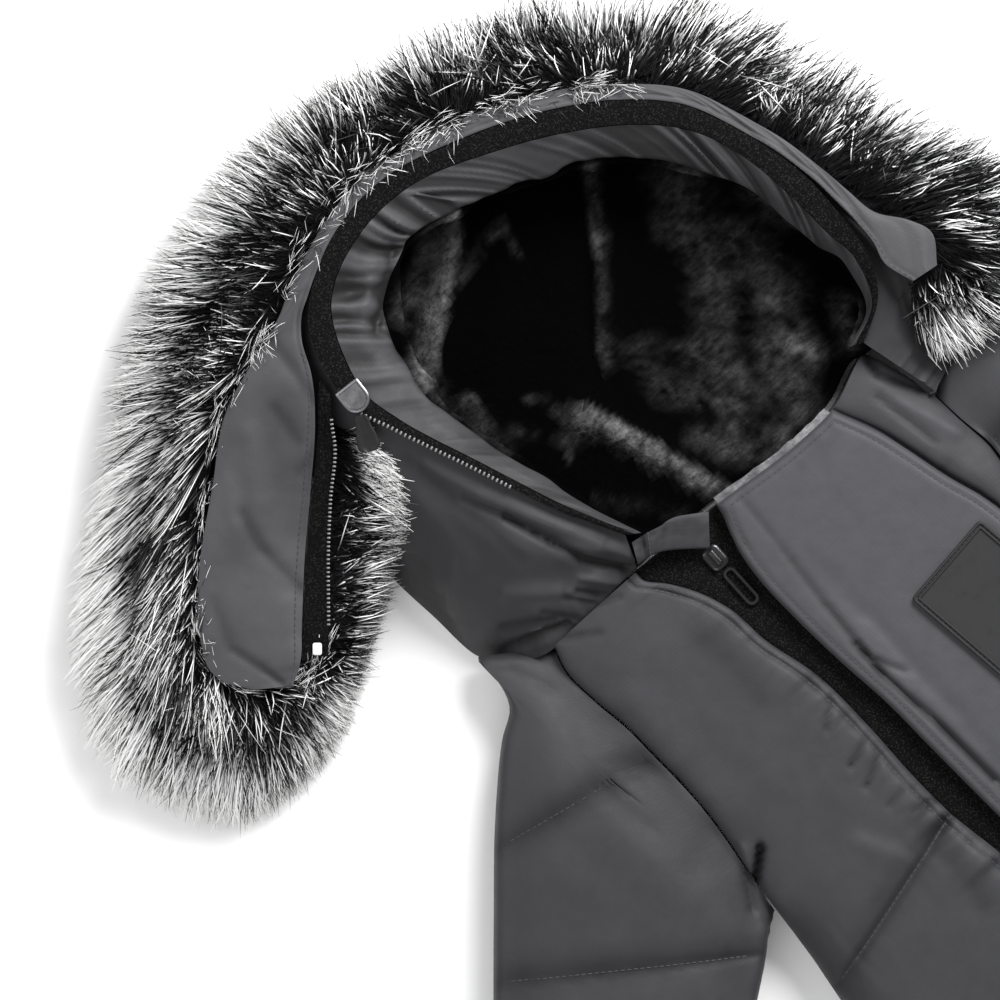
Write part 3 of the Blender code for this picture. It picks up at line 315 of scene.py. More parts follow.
# Soft troughs (height below 0) and ridges: from, to, half width, height.
CREASES = {
    "hood_side_right": rows("""
        -86 119 -78 94 3.2 1.6, -78 94 -64 63 3.6 2, -64 63 -54 40 3.6 2,
        -54 40 -46 26 2.7 1.6, -86 97 -77 78 1.8 -1.4, -77 78 -69 56 2.2 -2.8,
        -69 56 -64 39 2.4 -3.2, -64 39 -51 21 2.2 -3.2, -112 40 -92 27 2.6 -1.6,
        -100 52 -82 37 3.4 1.2, -70 34 -58 20 2 1.4, -76 30 -64 16 1.8 -1.8,
        -94 127 -90 100 4.1 -1, -90 100 -85 59 3.2 -0.6, -101 110 -102 74 4.1 0.8,
        -82 32 -66 12 1.8 -0.9, -94 33 -80 16 1.8 -1.1, -103 33 -87 19 1.8 -1.4,
        -118 33 -89 21 2.3 -2.6, -81 37 -71 21 1.8 0.7, -124 70 -135 48 4.1 -1.1,
        -107 79 -124 63 3.6 0.8, -120 90 -130 63 3.6 -1"""),
    "hood_side_left": rows("""
        124 29 117 4 2.3 -1.4, 111 22 108 5 1.8 1, 111 8 115 -8 1.8 -1.6"""),
    "front_right": rows("""
        -92 -112 -121 -136 1.5 -5, -98 -107 -116 -131 2.3 1.2, -84 26 -63 16 1.8 -0.8,
        -96 20 -81 10 1.8 -0.8, -22 -84 -34 -92 1.4 -1, -25 -109 -37 -112 1.4 -1.2,
        -25 -118 -38 -124 1.4 -1.2, -26 -136 -36 -137 1.4 -1, -21 -147 -30 -146 1.4 -1,
        -49 -23 -47 -62 7.3 -0.6, -88 -25 -91 -83 10 0.8, -57 -140 -47 -160 4.1 0.9,
        -30 -157 -34 -199 6.4 -0.7"""),
    "trim_strip": rows("""
        -102 215 -103 191 3.6 -1.6, -103 191 -105 174 3.2 -1.4, -37 248 -68 226 2.7 -1.3,
        -22 247 -56 222 2.3 1, -164 160 -168 142 2.7 -1.5, -168 142 -167 117 2.7 -1.7,
        -158 174 -168 158 3.6 0.9, -132 156 -118 159 2.3 -1, -121 185 -123 166 2.7 -0.9,
        -209 117 -205 101 2.3 -1.6, -205 101 -202 85 1.8 -1.6, -200 139 -209 117 2.7 -1,
        -176 117 -185 100 3.2 1, -136 185 -154 158 4.5 0.8"""),
    "storm_flap": rows("""
        8 2 6 -24 2.2 -0.6, 6 -24 4 -49 2.2 -1, 4 -49 3 -72 2 -1.6, 3 -72 2 -92 1.9 -3.4,
        2 -92 6 -125 1.9 -2.6, 6 -125 8 -162 1.9 -3, 8 -162 9 -230 2.2 -1.6,
        10 -70 9 -102 4.1 1.2, 5 -84 10 -96 1.9 -2, 8 -90 13 -130 3.2 0.5, 8 11 8 -1 2.3 -0.6,
        62 -2 47 -12 5 0.4, -1 16 -5 -5 1.8 -0.6"""),
    "sleeve_right": rows("""
        -101 15 -104 -10 2.3 -1, -101 -111 -114 -131 2.3 -2.6, -125 9 -133 -21 8.2 0.9,
        -100 -38 -98 -77 7.3 1, -114 27 -108 17 1.8 -1.8, -122 24 -115 7 2.3 -1.2,
        -97 -90 -123 -97 6.4 -0.8, -166 -58 -157 -88 7.3 0.7, -129 -43 -124 -72 4.5 -0.6"""),
    "front_left": rows("""
        97 26 93 12 2.3 -2, 93 12 103 -8 2.3 -1.8, 91 -3 102 -32 3.6 1.2,
        105 -12 116 -38 2.3 -1.8, 86 4 91 -28 1.8 -1.2"""),
    "hood_facing": rows("""
        -33 202 -47 191 2.3 -2, -47 191 -63 180 1.8 -2, -43 203 -64 187 3.2 1.6,
        -24 202 -33 195 2.3 1, -46 220 -63 198 3.2 -0.9, -65 194 -71 175 4.1 0.9,
        -71 169 -66 141 4.1 1, -62 169 -61 140 2.3 -0.6"""),
    "hood_lining": rows("""
        58 168 22 121 6 3, 22 121 5 98 6 3, 50 171 -2 100 6 -2, -2 190 -64 146 7 5,
        8 186 -52 138 6 -3.5, -20 92 -10 66 7 4, -10 66 2 28 7 4, -30 80 -20 48 7 -2,
        85 131 40 77 14 2"""),
    "sleeve_left": rows("""
        106 -50 118 -85 4 -1.2, 112 -112 124 -132 4 -2.2, 140 -30 158 -66 16 1,
        188 -84 162 -124 12 1, 238 -112 214 -152 10 0.9"""),
}

# The quilt seams across each sleeve, by their ends.
SLEEVE_QUILTS = {
    -1: (((-104, -48), (-182, -32)), ((-122, -151), (-226, -75)),
         ((-178, -190), (-268, -122))),
    1: (((106, -48), (184, -34)), ((124, -151), (228, -77)),
        ((180, -190), (270, -124))),
}

# Painted highlight: where the lining's folds and pile catch the light and show paler:
# from, to, half width, how much, and the side of the line on which it ends at once (1 left
# of the direction, -1 right of it).
LINING_HIGHLIGHTS = rows("""
    -4 191 -64 146 7 1.5 1, -16 196 -52 176 5 0.45 0, 12 178 -18 172 5 0.35 1,
    12 176 9 163 3 0.2 0, 58 171 38 143 6 0.42 -1, 38 143 3 100 5 0.3 -1,
    85 156 65 125 8 0.16 0, 88 135 61 83 11 0.36 0, 88 101 88 67 10 0.4 0,
    107 112 111 92 6 0.3 0, 78 67 75 46 7 0.45 0, 104 47 93 29 5 0.45 0, 78 49 78 39 6 0.5 0,
    20 92 18 72 9 0.28 0, 36 78 26 59 7 0.26 0, 45 64 29 35 12 0.3 0, 66 50 55 21 11 0.42 0,
    12 44 41 9 7 0.3 0, 19 29 42 17 5 0.2 0, -16 88 -4 54 7 1.7 1, -4 54 7 16 6 1.2 1,
    -31 109 -19 85 3 0.45 0, -53 129 -56 116 3 0.5 0, -45 103 -30 82 4 0.18 0,
    -33 86 -37 77 2 0.3 0, -66 150 -58 105 8 0.25 0, -40 55 -18 25 6 0.1 0""")

# The hair from the slider round the loose end and over the crown to the other end: its
# outermost root and its outermost tip by sections.
HAIR = columns("s root_x root_y root_z tip_x tip_y tip_z", """
    0 -108 155 63 -103 127 34, 0.035 -126 137 54 -112 113 28, 0.075 -145 120 48 -126 102 22,
    0.115 -162 103 44 -142 91 15, 0.15 -176 90 42 -163 78 12, 0.18 -190 86 42 -182 66 10,
    0.21 -202 88 42 -207 55 10, 0.245 -212 96 42 -242 50 12, 0.285 -219 108 43 -268 62 15,
    0.33 -220 122 45 -281 92 20, 0.38 -209 141 48 -286 123 24, 0.425 -193 156 50 -268 158 28,
    0.47 -166 178 55 -244 185 30, 0.525 -137 199 62 -206 213 32,
    0.575 -113 207.5 69 -160 247 36, 0.625 -76 222 71 -110 274 40, 0.675 -42 233 71 -56 283 42,
    0.72 -13 234.5 71 -2 279 42, 0.765 36 222 70 52 265 42, 0.805 72 204 69 102 240 40,
    0.84 95 186.5 68 141 204 38, 0.87 113.5 166 68 162 173 38, 0.9 123 143.5 67 176 141 38,
    0.93 133 109 66 189 104 38, 0.955 138 80 65 200 68 38, 0.975 149 52 62 205 30 44,
    0.99 148 33 60 186 -20 47, 1 132 31 58 124 -6 48""")

# The parts of the fur by places along it, each with the number of its hairs.
HAIR_PARTS = ((0.0, 0.27, 17000), (0.26, 0.48, 21000), (0.47, 0.70, 19000),
              (0.69, 1.0, 19000))
EDGE_HAIR = (0.14, 0.84, 2200)


# ---------------------------------------------------------------- surfaces

# Painted shade and highlight: cloth colour darkens in hollows and lightens on ridges across
# this many mm of fold relief.
PAINTED_FOLD_SHADE_RANGE = 12.0       # mm of relief that a fold's shade covers
RANDOM = np.random.default_rng(11).uniform(-1, 1, 4096)


def noise(places, size, seed=0):
    """Smooth value noise from -1 to 1 at points of one, two or three dimensions."""
    q = np.asarray(places, float) / size
    cell = np.floor(q).astype(np.int64)
    f = q - cell
    f = f * f * (3 - 2 * f)
    primes = np.array([73856093, 19349663, 83492791])[:q.shape[-1]]
    total = 0.0
    for corner in itertools.product((0, 1), repeat=q.shape[-1]):
        c = np.array(corner)
        h = ((cell + c) * primes).sum(-1) + seed * 7919
        h = (h ^ (h >> 7) ^ (h >> 13)) & 4095
        weight = np.where(c == 1, f, 1 - f).prod(-1)
        total = total + weight * RANDOM[h]
    return total


def ripple(along, size, seed=0):
    """The same noise along a line."""
    return noise(np.asarray(along, float)[..., None], size, seed)


def soft(xy, seed, size=38.0):
    """The slack of padded cloth: broad swells with smaller ones on them."""
    return (0.8 * noise(xy, size, seed) + 0.4 * noise(xy, size * 0.45, seed + 1)
            + 0.13 * noise(xy, size * 0.2, seed + 2))


def from_line(xy, line):
    """Distance to a polyline, and how far along it the nearest place lies."""
    best = np.full(xy.shape[:-1], np.inf)
    along = np.zeros(xy.shape[:-1])
    done = 0.0
    line = np.asarray(line, float)[:, :2]
    for a, b in zip(line[:-1], line[1:]):
        step = b - a
        length = math.hypot(*step)
        if length < 1e-6:
            continue
        t = (((xy - a) @ step) / length ** 2).clip(0, 1)
        d = np.linalg.norm(xy - a - t[..., None] * step, axis=-1)
        near = d < best
        best = np.where(near, d, best)
        along = np.where(near, done + t * length, along)
        done += length
    return best, along


def creases(xy, name):
    """The height of a piece's own creases and ridges, from their table."""
    low, high = np.zeros(xy.shape[:-1]), np.zeros(xy.shape[:-1])
    for x0, y0, x1, y1, width, height in CREASES.get(name, ()):
        fold = height * bell(from_line(xy, [(x0, y0), (x1, y1)])[0], width)
        low, high = np.minimum(low, fold), np.maximum(high, fold)
    return low + high


def gathers(distance, along, reach, pitch, height, seed):
    """Small folds square to a seam, uneven, which run out away from it."""
    wave = ripple(along, pitch, seed) + 0.5 * ripple(along, pitch * 0.47, seed + 5)
    uneven = 0.55 + 0.45 * ripple(along, pitch * 5, seed + 9)
    length = reach * (1 + 0.5 * ripple(along, pitch * 2.3, seed + 3))
    return height * wave * uneven * np.exp(-(distance / length).clip(0) ** 1.5)


def refine(grid, factor, axis, around=False):
    """More points between those of a grid, on smooth curves through them."""
    n = grid.shape[axis]
    moved = np.moveaxis(grid, axis, 0)
    if around:
        moved = np.concatenate([moved[-2:], moved, moved[:3]])
        at = np.arange(2, 2 + n, 1 / factor)
    else:
        at = np.linspace(0, n - 1, (n - 1) * factor + 1)
    slope = np.gradient(moved, axis=0)
    i = np.clip(np.floor(at).astype(int), 0, len(moved) - 2)
    t = (at - i).reshape((-1,) + (1,) * (moved.ndim - 1))
    return np.moveaxis(hermite(t, moved[i], moved[i + 1], slope[i], slope[i + 1]), 0, axis)


def arc(grid, axis):
    """Lengths along a grid from its first row or column."""
    step = np.linalg.norm(np.diff(grid, axis=axis), axis=-1)
    zero = np.zeros_like(step.take([0], axis))
    return np.concatenate([zero, np.cumsum(step, axis=axis)], axis)


def make(name, verts, faces, finish, corners=None, layer="cloth", sharp=SHARP_ANGLE,
         folds=None):
    """An object from points in mm. corners holds each face corner's place on the cloth,
    folds how far it lies above the cloth round it, kept as a layer from which the
    material paints shade in the hollows and highlight on the ridges."""
    mesh = bpy.data.meshes.new(name)
    mesh.from_pydata((np.asarray(verts) * MM).tolist(), [], [list(map(int, f)) for f in faces])
    if corners is not None:
        mesh.uv_layers.new(name=layer).data.foreach_set("uv", np.ravel(corners))
    # Painted shade and highlight: the fold layer holds each corner's height above the cloth
    # round it, which the material turns into darker hollows and lighter ridges.
    if folds is not None:
        height = (0.5 + np.ravel(folds) / PAINTED_FOLD_SHADE_RANGE).clip(0, 1)
        both = np.stack([height, np.full_like(height, 0.5)], -1)
        mesh.uv_layers.new(name="fold").data.foreach_set("uv", both.ravel())
    mesh.validate()
    mesh.shade_smooth()
    mesh.set_sharp_from_angle(angle=sharp)
    mesh.materials.append(finish)
    piece = bpy.data.objects.new(name, mesh)
    bpy.context.collection.objects.link(piece)
    return piece


def cloth(name, outer, inner, finish, around=False, body="garment", fold=0.0):
    """A closed piece of cloth between two grids of points, with places in metres on it
    and the relief of its folds in mm, from which its material paints shade in the hollows
    and highlight on the ridges. Its node has its name without the last word."""
    fold = np.broadcast_to(fold, outer.shape[:2])
    relief = np.concatenate([fold.ravel(), np.zeros(fold.size)])
    count, cols = outer.shape[:2]
    n = count * cols
    closed = np.concatenate([outer, outer[:1]]) if around else outer
    down = arc(closed, 0).mean(1) * MM
    over = arc(closed, 1) * MM
    steps = count if around else count - 1
    i, j = np.meshgrid(np.arange(steps), np.arange(cols - 1), indexing="ij")
    grid_i = np.stack([i, i + 1, i + 1, i], -1).reshape(-1, 4)
    grid_j = np.stack([j, j, j + 1, j + 1], -1).reshape(-1, 4)
    faces, places = [], []

    def add(a, b, sides):
        faces.append((a % count) * cols + b + np.array(sides) * n)
        places.append(np.stack([over[a, b], down[a]], -1))

    def there_and_back(parts):
        k = np.arange(parts)
        there = np.stack([k, k + 1, k + 1, k], -1)
        return there, there[:, [1, 0, 0, 1]]

    add(grid_i, grid_j, 0)
    add(grid_i[:, ::-1], grid_j[:, ::-1], 1)
    both = (0, 0, 1, 1)
    there, back = there_and_back(steps)
    add(back, 0 * back, both)
    add(there, 0 * there + cols - 1, both)
    if not around:
        there, back = there_and_back(cols - 1)
        add(0 * there, there, both)
        add(0 * back + count - 1, back, both)
    verts = np.concatenate([outer.reshape(-1, 3), inner.reshape(-1, 3)])
    faces, places = np.concatenate(faces), np.concatenate(places)
    p = verts[faces]
    volume = (np.cross(p[:, 0], p[:, 1]) * p[:, 2]).sum() + (
        np.cross(p[:, 0], p[:, 2]) * p[:, 3]).sum()
    if volume < 0:
        faces, places = faces[:, ::-1], places[:, ::-1]
    piece = make(name, verts, faces, finish, places, folds=relief[faces])
    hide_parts(name.rpartition("_")[0])
    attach(piece, body)
    piece["cut"] = [float(down[-1]), float(over[:, -1].mean()), float(grid_area(closed))]
    return piece


def grid_area(grid):
    """Square metres of a grid of points in mm."""
    a, b = grid[1:, :-1] - grid[:-1, :-1], grid[:-1, 1:] - grid[:-1, :-1]
    c, d = grid[1:, :-1] - grid[1:, 1:], grid[:-1, 1:] - grid[1:, 1:]
    return (np.linalg.norm(np.cross(a, b), axis=-1).sum()
            + np.linalg.norm(np.cross(c, d), axis=-1).sum()) / 2 * MM * MM


LEAST_CUT = 0.01        # metres, the narrowest cut that a sheet may state


def sheet(piece):
    """Works out the width that a piece's grid has when it is laid out; nothing uses it."""
    down, over, area = piece["cut"]
    over = max(over, area / down * 1.001, LEAST_CUT)


def at_height(xy, z):
    """Points in space from places in plan."""
    return np.stack(np.broadcast_arrays(xy[..., 0], xy[..., 1], z), -1)


# ---------------------------------------------------------------- sewing

STITCHES = []
TEETH = []
STITCH_SIZE = (2.1, 0.55, 0.4, 4)   # length, width, height and sides


def capsules(places, along, up, length, width, height, sides=6):
    """Small rounded grains: one for each place, laid along a direction."""
    along = along / np.linalg.norm(along, axis=-1, keepdims=True)
    side = np.cross(up, along)
    side /= np.linalg.norm(side, axis=-1, keepdims=True)
    up = np.cross(along, side)
    rings = ((-0.5, 0.35), (-0.32, 1.0), (0.32, 1.0), (0.5, 0.35))
    turn = np.linspace(0, 2 * math.pi, sides, endpoint=False)
    verts = np.concatenate([
        places[:, None] + along[:, None] * (length * reach)
        + side[:, None] * (np.cos(turn) * width / 2 * full)[None, :, None]
        + up[:, None] * (np.sin(turn) * height / 2 * full)[None, :, None]
        for reach, full in rings], 1)
    faces = []
    for ring in range(len(rings) - 1):
        for k in range(sides):
            a, b = ring * sides + k, ring * sides + (k + 1) % sides
            faces.append((a, a + sides, b + sides, b))
    caps = [list(range(sides)), [len(rings) * sides - 1 - k for k in range(sides)]]
    return verts, faces, caps


def grains(name, groups, finish):
    """One mesh of all the stitches or teeth."""
    verts, faces = [], []
    start = 0
    for places, along, up, length, width, height, sides in groups:
        v, quads, caps = capsules(places, along, up, length, width, height, sides)
        for _ in range(len(v)):
            for face in quads + caps:
                faces.append([start + c for c in face])
            start += v.shape[1]
        verts.append(v.reshape(-1, 3))
    place_on(make(name, np.concatenate(verts), faces, finish))


def spaced(line, pitch):
    """Places and directions at even steps along a polyline in space."""
    line = np.asarray(line, float)
    length = arc(line[:, None], 0)[:, 0]
    at = np.arange(pitch / 2, length[-1], pitch)

    def place(at):
        return np.stack([np.interp(at, length, line[:, k]) for k in range(3)], -1)

    return place(at), place(at + 0.3) - place(at - 0.3)


def stitch(line, pitch=3.0):
    """A row of stitches along a line."""
    place, along = spaced(line, pitch)
    if len(place) > 1:
        ups = np.broadcast_to(UP, place.shape)
        STITCHES.append((place, along, ups, *STITCH_SIZE))


def teeth(line, pitch, length=1.9, width=1.15):
    """Teeth square to a zip's line."""
    place, along = spaced(line, pitch)
    ups = np.broadcast_to(UP, place.shape)
    TEETH.append((place, np.cross(ups, along), ups, length, width, 1.0, 6))


def lattice(xy, grid):
    """A grid's height at given places, from its nearest points."""
    flat = grid.reshape(-1, 3)
    out = []
    for p in xy:
        d = ((flat[:, :2] - p) ** 2).sum(-1)
        near = np.argpartition(d, 4)[:4]
        w = 1 / (d[near] + 0.05)
        out.append((flat[near, 2] * w).sum() / w.sum())
    return np.array(out)


def on_surface(xy, grid, lift=0.12):
    """Places in plan, raised to just above a grid."""
    return np.column_stack([xy, lattice(xy, grid) + lift])


def sew(v, x, grid, lift=0.12):
    """Stitches along places of the sack, on top of a grid."""
    stitch(on_surface(np.stack([x, sack_place(v, x)], -1), grid, lift))


# ---------------------------------------------------------------- sack


def sack_place(v, x):
    """A row's points, bent with the quilt seams below and with the neck edge above."""
    bend = grow(-v - 60, 80) * grow(v + 480, 90)
    neck = (read(NECK, "y", x) - NECK_Y) * np.clip((v + 70) / (NECK_Y + 70), 0, 1)
    return v + neck - QUILT_SLOPE * np.abs(x) * bend


def sack_rows(low=-480.0, step=2.7, chest_step=None):
    """Places of the rows, closer together on the chest, at each quilt seam and at the
    two ends."""
    v = list(np.arange(low, CHEST_END, step)) + [NECK_Y]
    v += list(np.arange(CHEST_END, NECK_Y, chest_step or step))
    v += [low + d for d in (0.3, 0.8, 1.5, 3.0, 4.4)]
    v += [NECK_Y - d for d in (0.3, 0.8, 1.5, 2.4, 3.6, 4.4, 5.2)]
    for seam in QUILT_SEAMS:
        v += [seam + d for d in (-4, -2.6, -1.3, -0.5, 0, 0.5, 1.3, 2.6, 4)]
    v = np.array(sorted(place for place in v if place >= low))
    return v[np.concatenate([[True], np.diff(v) > 0.24])]


def shares(width, count, near=(0.3, 0.8, 1.5, 2.5, 3.6, 4.2, 4.8, 6.0, 8.0)):
    """Shares of a width with set distances near both edges."""
    inside = np.linspace(near[-1], width - near[-1], count)
    places = np.concatenate([[0], near[:-1], inside, width - np.array(near[-2::-1]), [width]])
    return places / width


def across(first, last, parts):
    """X of a panel's points, row by row, at shares of its width."""
    return first[:, None] + (last - first)[:, None] * parts[None, :]


def fine_quilting(v, x, seed):
    """The quilt seams: a soft valley, a tight stitched line and gathers on both sides."""
    total = np.zeros(v.shape)
    for k, seam in enumerate(QUILT_SEAMS):
        d = v - seam
        total += QUILT_DEPTH * (0.55 * bell(d, 9.0) + 0.45 * bell(d, 2.4))
        total -= gathers(np.abs(d), x, 11, 6.5, 1.0, seed + k)
    return total


def sides(v):
    """The X of both side edges of the sack."""
    return read(SACK, "left", v), read(SACK, "right", v)


def front_height(v, x, left, right, seed):
    """The outer face of a front, with its fullness, quilting and side gathers."""
    edge = np.minimum(np.minimum(x - left, right - x), v - SACK["v"][0] + 3)
    thick = read(SACK, "thick", v).clip(0, 1)
    start = SEAM_Z + SEAM_GAP + EDGE_WALL + thick * SEAM_ROLL
    full = read(SACK, "puff", v)
    inward = crown(edge, GROOVE_FADE)
    swell = soft(np.stack([x, v], -1), seed) * crown(edge, 12)
    side = gathers(edge, v, 10, 8.0, 0.9, seed + 31)
    return (start + (full - start) * crown(edge, FRONT_ROUND)
            - fine_quilting(v, x, seed) * inward + swell + side)


def front_right(finish):
    """The wearer's right front, sewn twice beside the zip and gathered there."""
    v = sack_rows(step=4.0, chest_step=1.7)
    left, right = sides(v)
    zip_edge = np.maximum(read(ZIP, "chest", v), left + 20)
    x = across(left, zip_edge, shares(90, 44))
    vv, xy = plan(x, v)
    top = front_height(vv, x, left[:, None], right[:, None], 40)
    from_zip = zip_edge[:, None] - x
    near_zip = 1 - crown(from_zip, CHEST_PRESS)
    fold = 1.3 * creases(xy, "front_right") + gathers(from_zip, xy[..., 1], 10, 5.0, 1.8, 3)
    fold = fold - 1.5 * bell(from_zip - PLACKET, 0.9) + 0.5 * bell(from_zip - 2.0, 1.6)
    top = top + fold
    # Painted shade: the quilt seams' valleys also darken the colour, on top of the painted
    # shade and highlight of the creases and gathers.
    fold = fold - 0.2 * fine_quilting(vv, x, 40)
    top = np.minimum(top, top * (1 - near_zip) + CHEST_EDGE_Z * near_zip)
    near, far = CHEST_ROWS
    top -= 0.5 * bell(from_zip - near, 0.8) + 0.35 * bell(from_zip - far, 0.8)
    outer = at_height(xy, top)
    piece = cloth("front_right_cloth", outer, at_height(xy, SEAM_Z + SEAM_GAP), finish,
                  fold=fold)
    part = (v > ZIP_END) & (v < NECK_Y - 1)
    for inset in CHEST_ROWS:
        sew(v[part], (zip_edge - inset)[part], outer)
    for seam in QUILT_SEAMS:
        first, last = (np.interp(seam, v, edge) for edge in (left, zip_edge))
        sew(np.full(40, seam), np.linspace(first + 6, last - 7, 40), outer, 0.05)


def front_left(finish):
    """The wearer's left front: flat under the flap, full beyond it."""
    v = sack_rows()
    left, right = sides(v)
    zip_edge = np.where(v < ZIP_END, read(ZIP, "chest", v) + SEAM_GAP,
                        read(ZIP, "flap", v) + ZIP_LEFT)
    sewn = np.minimum(read(ZIP, "sewn", v), right - 6)
    under = across(zip_edge, sewn + 1.0, np.linspace(0, 1, 16))
    beyond = across(sewn + 1.0, right, edge_shares(24))[:, 1:]
    x = np.concatenate([under, beyond], 1)
    vv, xy = plan(x, v)
    top = front_height(vv, x, left[:, None], right[:, None], 60)
    away = x - sewn[:, None] - 1.0
    fold = creases(xy, "front_left") + gathers(away.clip(0), xy[..., 1], 8, 5.0, 1.2, 8)
    top = top + fold
    rise = crown(away, FLAP_ROLL)
    pressed = np.where(vv < FLAP_END, top, np.minimum(top, UNDER_FLAP_Z))
    top = pressed * (1 - rise) + top * rise
    # Painted shade and highlight from the creases and gathers, with painted shade in the quilt
    # seams' valleys.
    piece = cloth("front_left_cloth", at_height(xy, top),
                  at_height(xy, SEAM_Z + SEAM_GAP), finish,
                  fold=fold - 0.2 * fine_quilting(vv, x, 60))


def back_panel(finish):
    """The padded back, which lies on the table."""
    v = sack_rows(step=5.0)
    left, right = sides(v)
    thick = read(SACK, "thick", v)[:, None].clip(0, 1)
    x = across(left, right, edge_shares(36))
    vv, xy = plan(x, v)
    edge = np.minimum(np.minimum(x - left[:, None], right[:, None] - x), vv - SACK["v"][0])
    low = (SEAM_Z - EDGE_WALL) * (1 - crown(edge, BACK_ROUND)) * (1 - thick)
    seams = sum(bell(vv - seam, 3.0) for seam in QUILT_SEAMS)
    puffs = sum(gathers(np.abs(vv - seam), x, 9, 7, 0.5, 90 + k)
                for k, seam in enumerate(QUILT_SEAMS))
    low = np.maximum(low + (1.6 * seams + puffs) * crown(edge, 10), 0)
    # Painted shade and highlight along the quilt seams and their puffs.
    piece = cloth("back_panel_cloth", at_height(xy, low), at_height(xy, SEAM_Z), finish,
                  fold=-1.0 * seams - puffs)


def zip_tapes(finish):
    """The front zip's two tapes and the teeth where they meet."""
    v = sack_rows(ZIP_END + 0.5)
    free = read(ZIP, "flap", v)
    middle, apart = free + TEETH_OFFSET, TAPES_APART / 2
    edges = {
        "zip_tape_right": (read(ZIP, "chest", v) + SEAM_GAP, middle - apart),
        "zip_tape_left": (middle + apart, free + ZIP_LEFT - SEAM_GAP),
    }
    for name, (first, last) in edges.items():
        _, xy = plan(across(first, last, np.linspace(0, 1, 7)), v)
        wave = 0.15 * noise(xy, 9, 70)
        piece = cloth(name + "_cloth", at_height(xy, TAPE_Z + TAPE_WALL + wave),
                      at_height(xy, TAPE_Z), finish)
        sheet(piece)
    line = np.column_stack([middle, sack_place(v, middle), np.full(len(v), TEETH_Z)])
    teeth(line[v < SLIDER[1] - 12], pitch=1.6, length=3.4, width=0.9)


def flap(shell, plush):
    """The storm flap with its seams and its crease, and its plush lining."""
    v = sack_rows(FLAP_END, step=4.5, chest_step=1.9)
    corner = 7 * (1 - crown(v - FLAP_END, 8))
    first, last = read(ZIP, "flap", v) + corner, read(ZIP, "sewn", v) - corner
    x = across(first, last, shares(92, 56))
    vv, xy = plan(x, v)
    d_free, d_sewn, d_top = x - first[:, None], last[:, None] - x, NECK_Y - vv
    edge = np.minimum(np.minimum(d_free, d_sewn), np.minimum(d_top, vv - FLAP_END + 1))
    place, width, depth = CREASE
    along = grow(-vv - 20, 30) * grow(vv + 200, 60)
    high = FLAP_Z + FLAP_EDGE_WALL * (0.25 + 0.75 * crown(edge, 1.6)) + (
        FLAP_WALL - FLAP_EDGE_WALL) * crown(edge, 7)
    along_edge = np.where(d_top < d_free, x, xy[..., 1])
    fold = creases(xy, "storm_flap") + gathers(edge, along_edge, 7, 6.0, 0.5, 25) * (
        crown(edge, 6))
    high = high - 0.6 * depth * bell(x - place, width) * along + fold
    high = high + 0.5 * soft(xy, 21, 44) * crown(edge, 6)
    high = high - 0.55 * bell(edge - FLAP_SEAM, 0.8)
    high = np.clip(high, FLAP_Z + 0.4, FLAP_Z + FLAP_WALL + 0.35)
    outer = at_height(xy, high)
    # Painted shade and highlight from the flap's creases and edge gathers.
    piece = cloth("storm_flap_cloth", outer, at_height(xy, FLAP_Z), shell, fold=fold)
    part = (v > FLAP_END + 5) & (v < NECK_Y - FLAP_SEAM)
    for line_x in (first + FLAP_SEAM, last - FLAP_SEAM):
        sew(v[part], line_x[part], outer)
    line_x = np.linspace(first[-1] + FLAP_SEAM, last[-1] - FLAP_SEAM, 30)
    sew(np.full(30, NECK_Y - FLAP_SEAM), line_x, outer)
    x = across(first + 1.2, last - 2, np.linspace(0, 1, 24))
    vv, xy = plan(x, v)
    xy[..., 1] = xy[..., 1] + 3.2 * bell(vv - NECK_Y, 3) + 0.5 * ripple(x, 2.2, 5) * (
        bell(vv - NECK_Y, 2))
    low = UNDER_FLAP_Z + LAY_GAP
    piece = cloth("flap_lining_plush", at_height(xy, low + FLAP_LINING_WALL),
                  at_height(xy, low), plush)
    sheet(piece)


# ---------------------------------------------------------------- label


def rounded_rectangle(width, length, radius, steps=5):
    """An outline with its first corner at the origin, running down in Y."""
    middles = [(width - radius, -radius, 0), (radius, -radius, 90),
               (radius, radius - length, 180), (width - radius, radius - length, 270)]
    outline = []
    for x, y, start in middles:
        for k in range(steps):
            a = math.radians(start + 90 * k / (steps - 1))
            outline.append((x + radius * math.cos(a), y + radius * math.sin(a)))
    return np.array(outline)


def turned(outline, angle, place):
    """An outline turned about its origin and moved to a place."""
    c, s = math.cos(angle), math.sin(angle)
    return outline @ np.array([[c, s], [-s, c]]) + np.array(place)


def place_on(piece, node=None, body="garment"):
    """Hides the node that a piece stands in for, if one is given, and attaches the piece to its
    body.
    """
    if node:
        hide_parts(node)
    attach(piece, body)


def moulded(name, outline_at, profile, finish, sharp=SHARP_ANGLE):
    """A closed body from one outline, set in by each profile step's inset at its height."""
    rings = [np.column_stack([outline_at(inset), np.full(len(outline_at(inset)), z)])
             for inset, z in profile]
    n = len(rings[0])
    faces = [list(reversed(range(n)))]
    for r in range(len(rings) - 1):
        for k in range(n):
            a, b = r * n + k, r * n + (k + 1) % n
            faces.append([a, b, b + n, a + n])
    faces.append([(len(rings) - 1) * n + k for k in range(n)])
    return make(name, np.concatenate(rings), faces, finish, sharp=sharp)


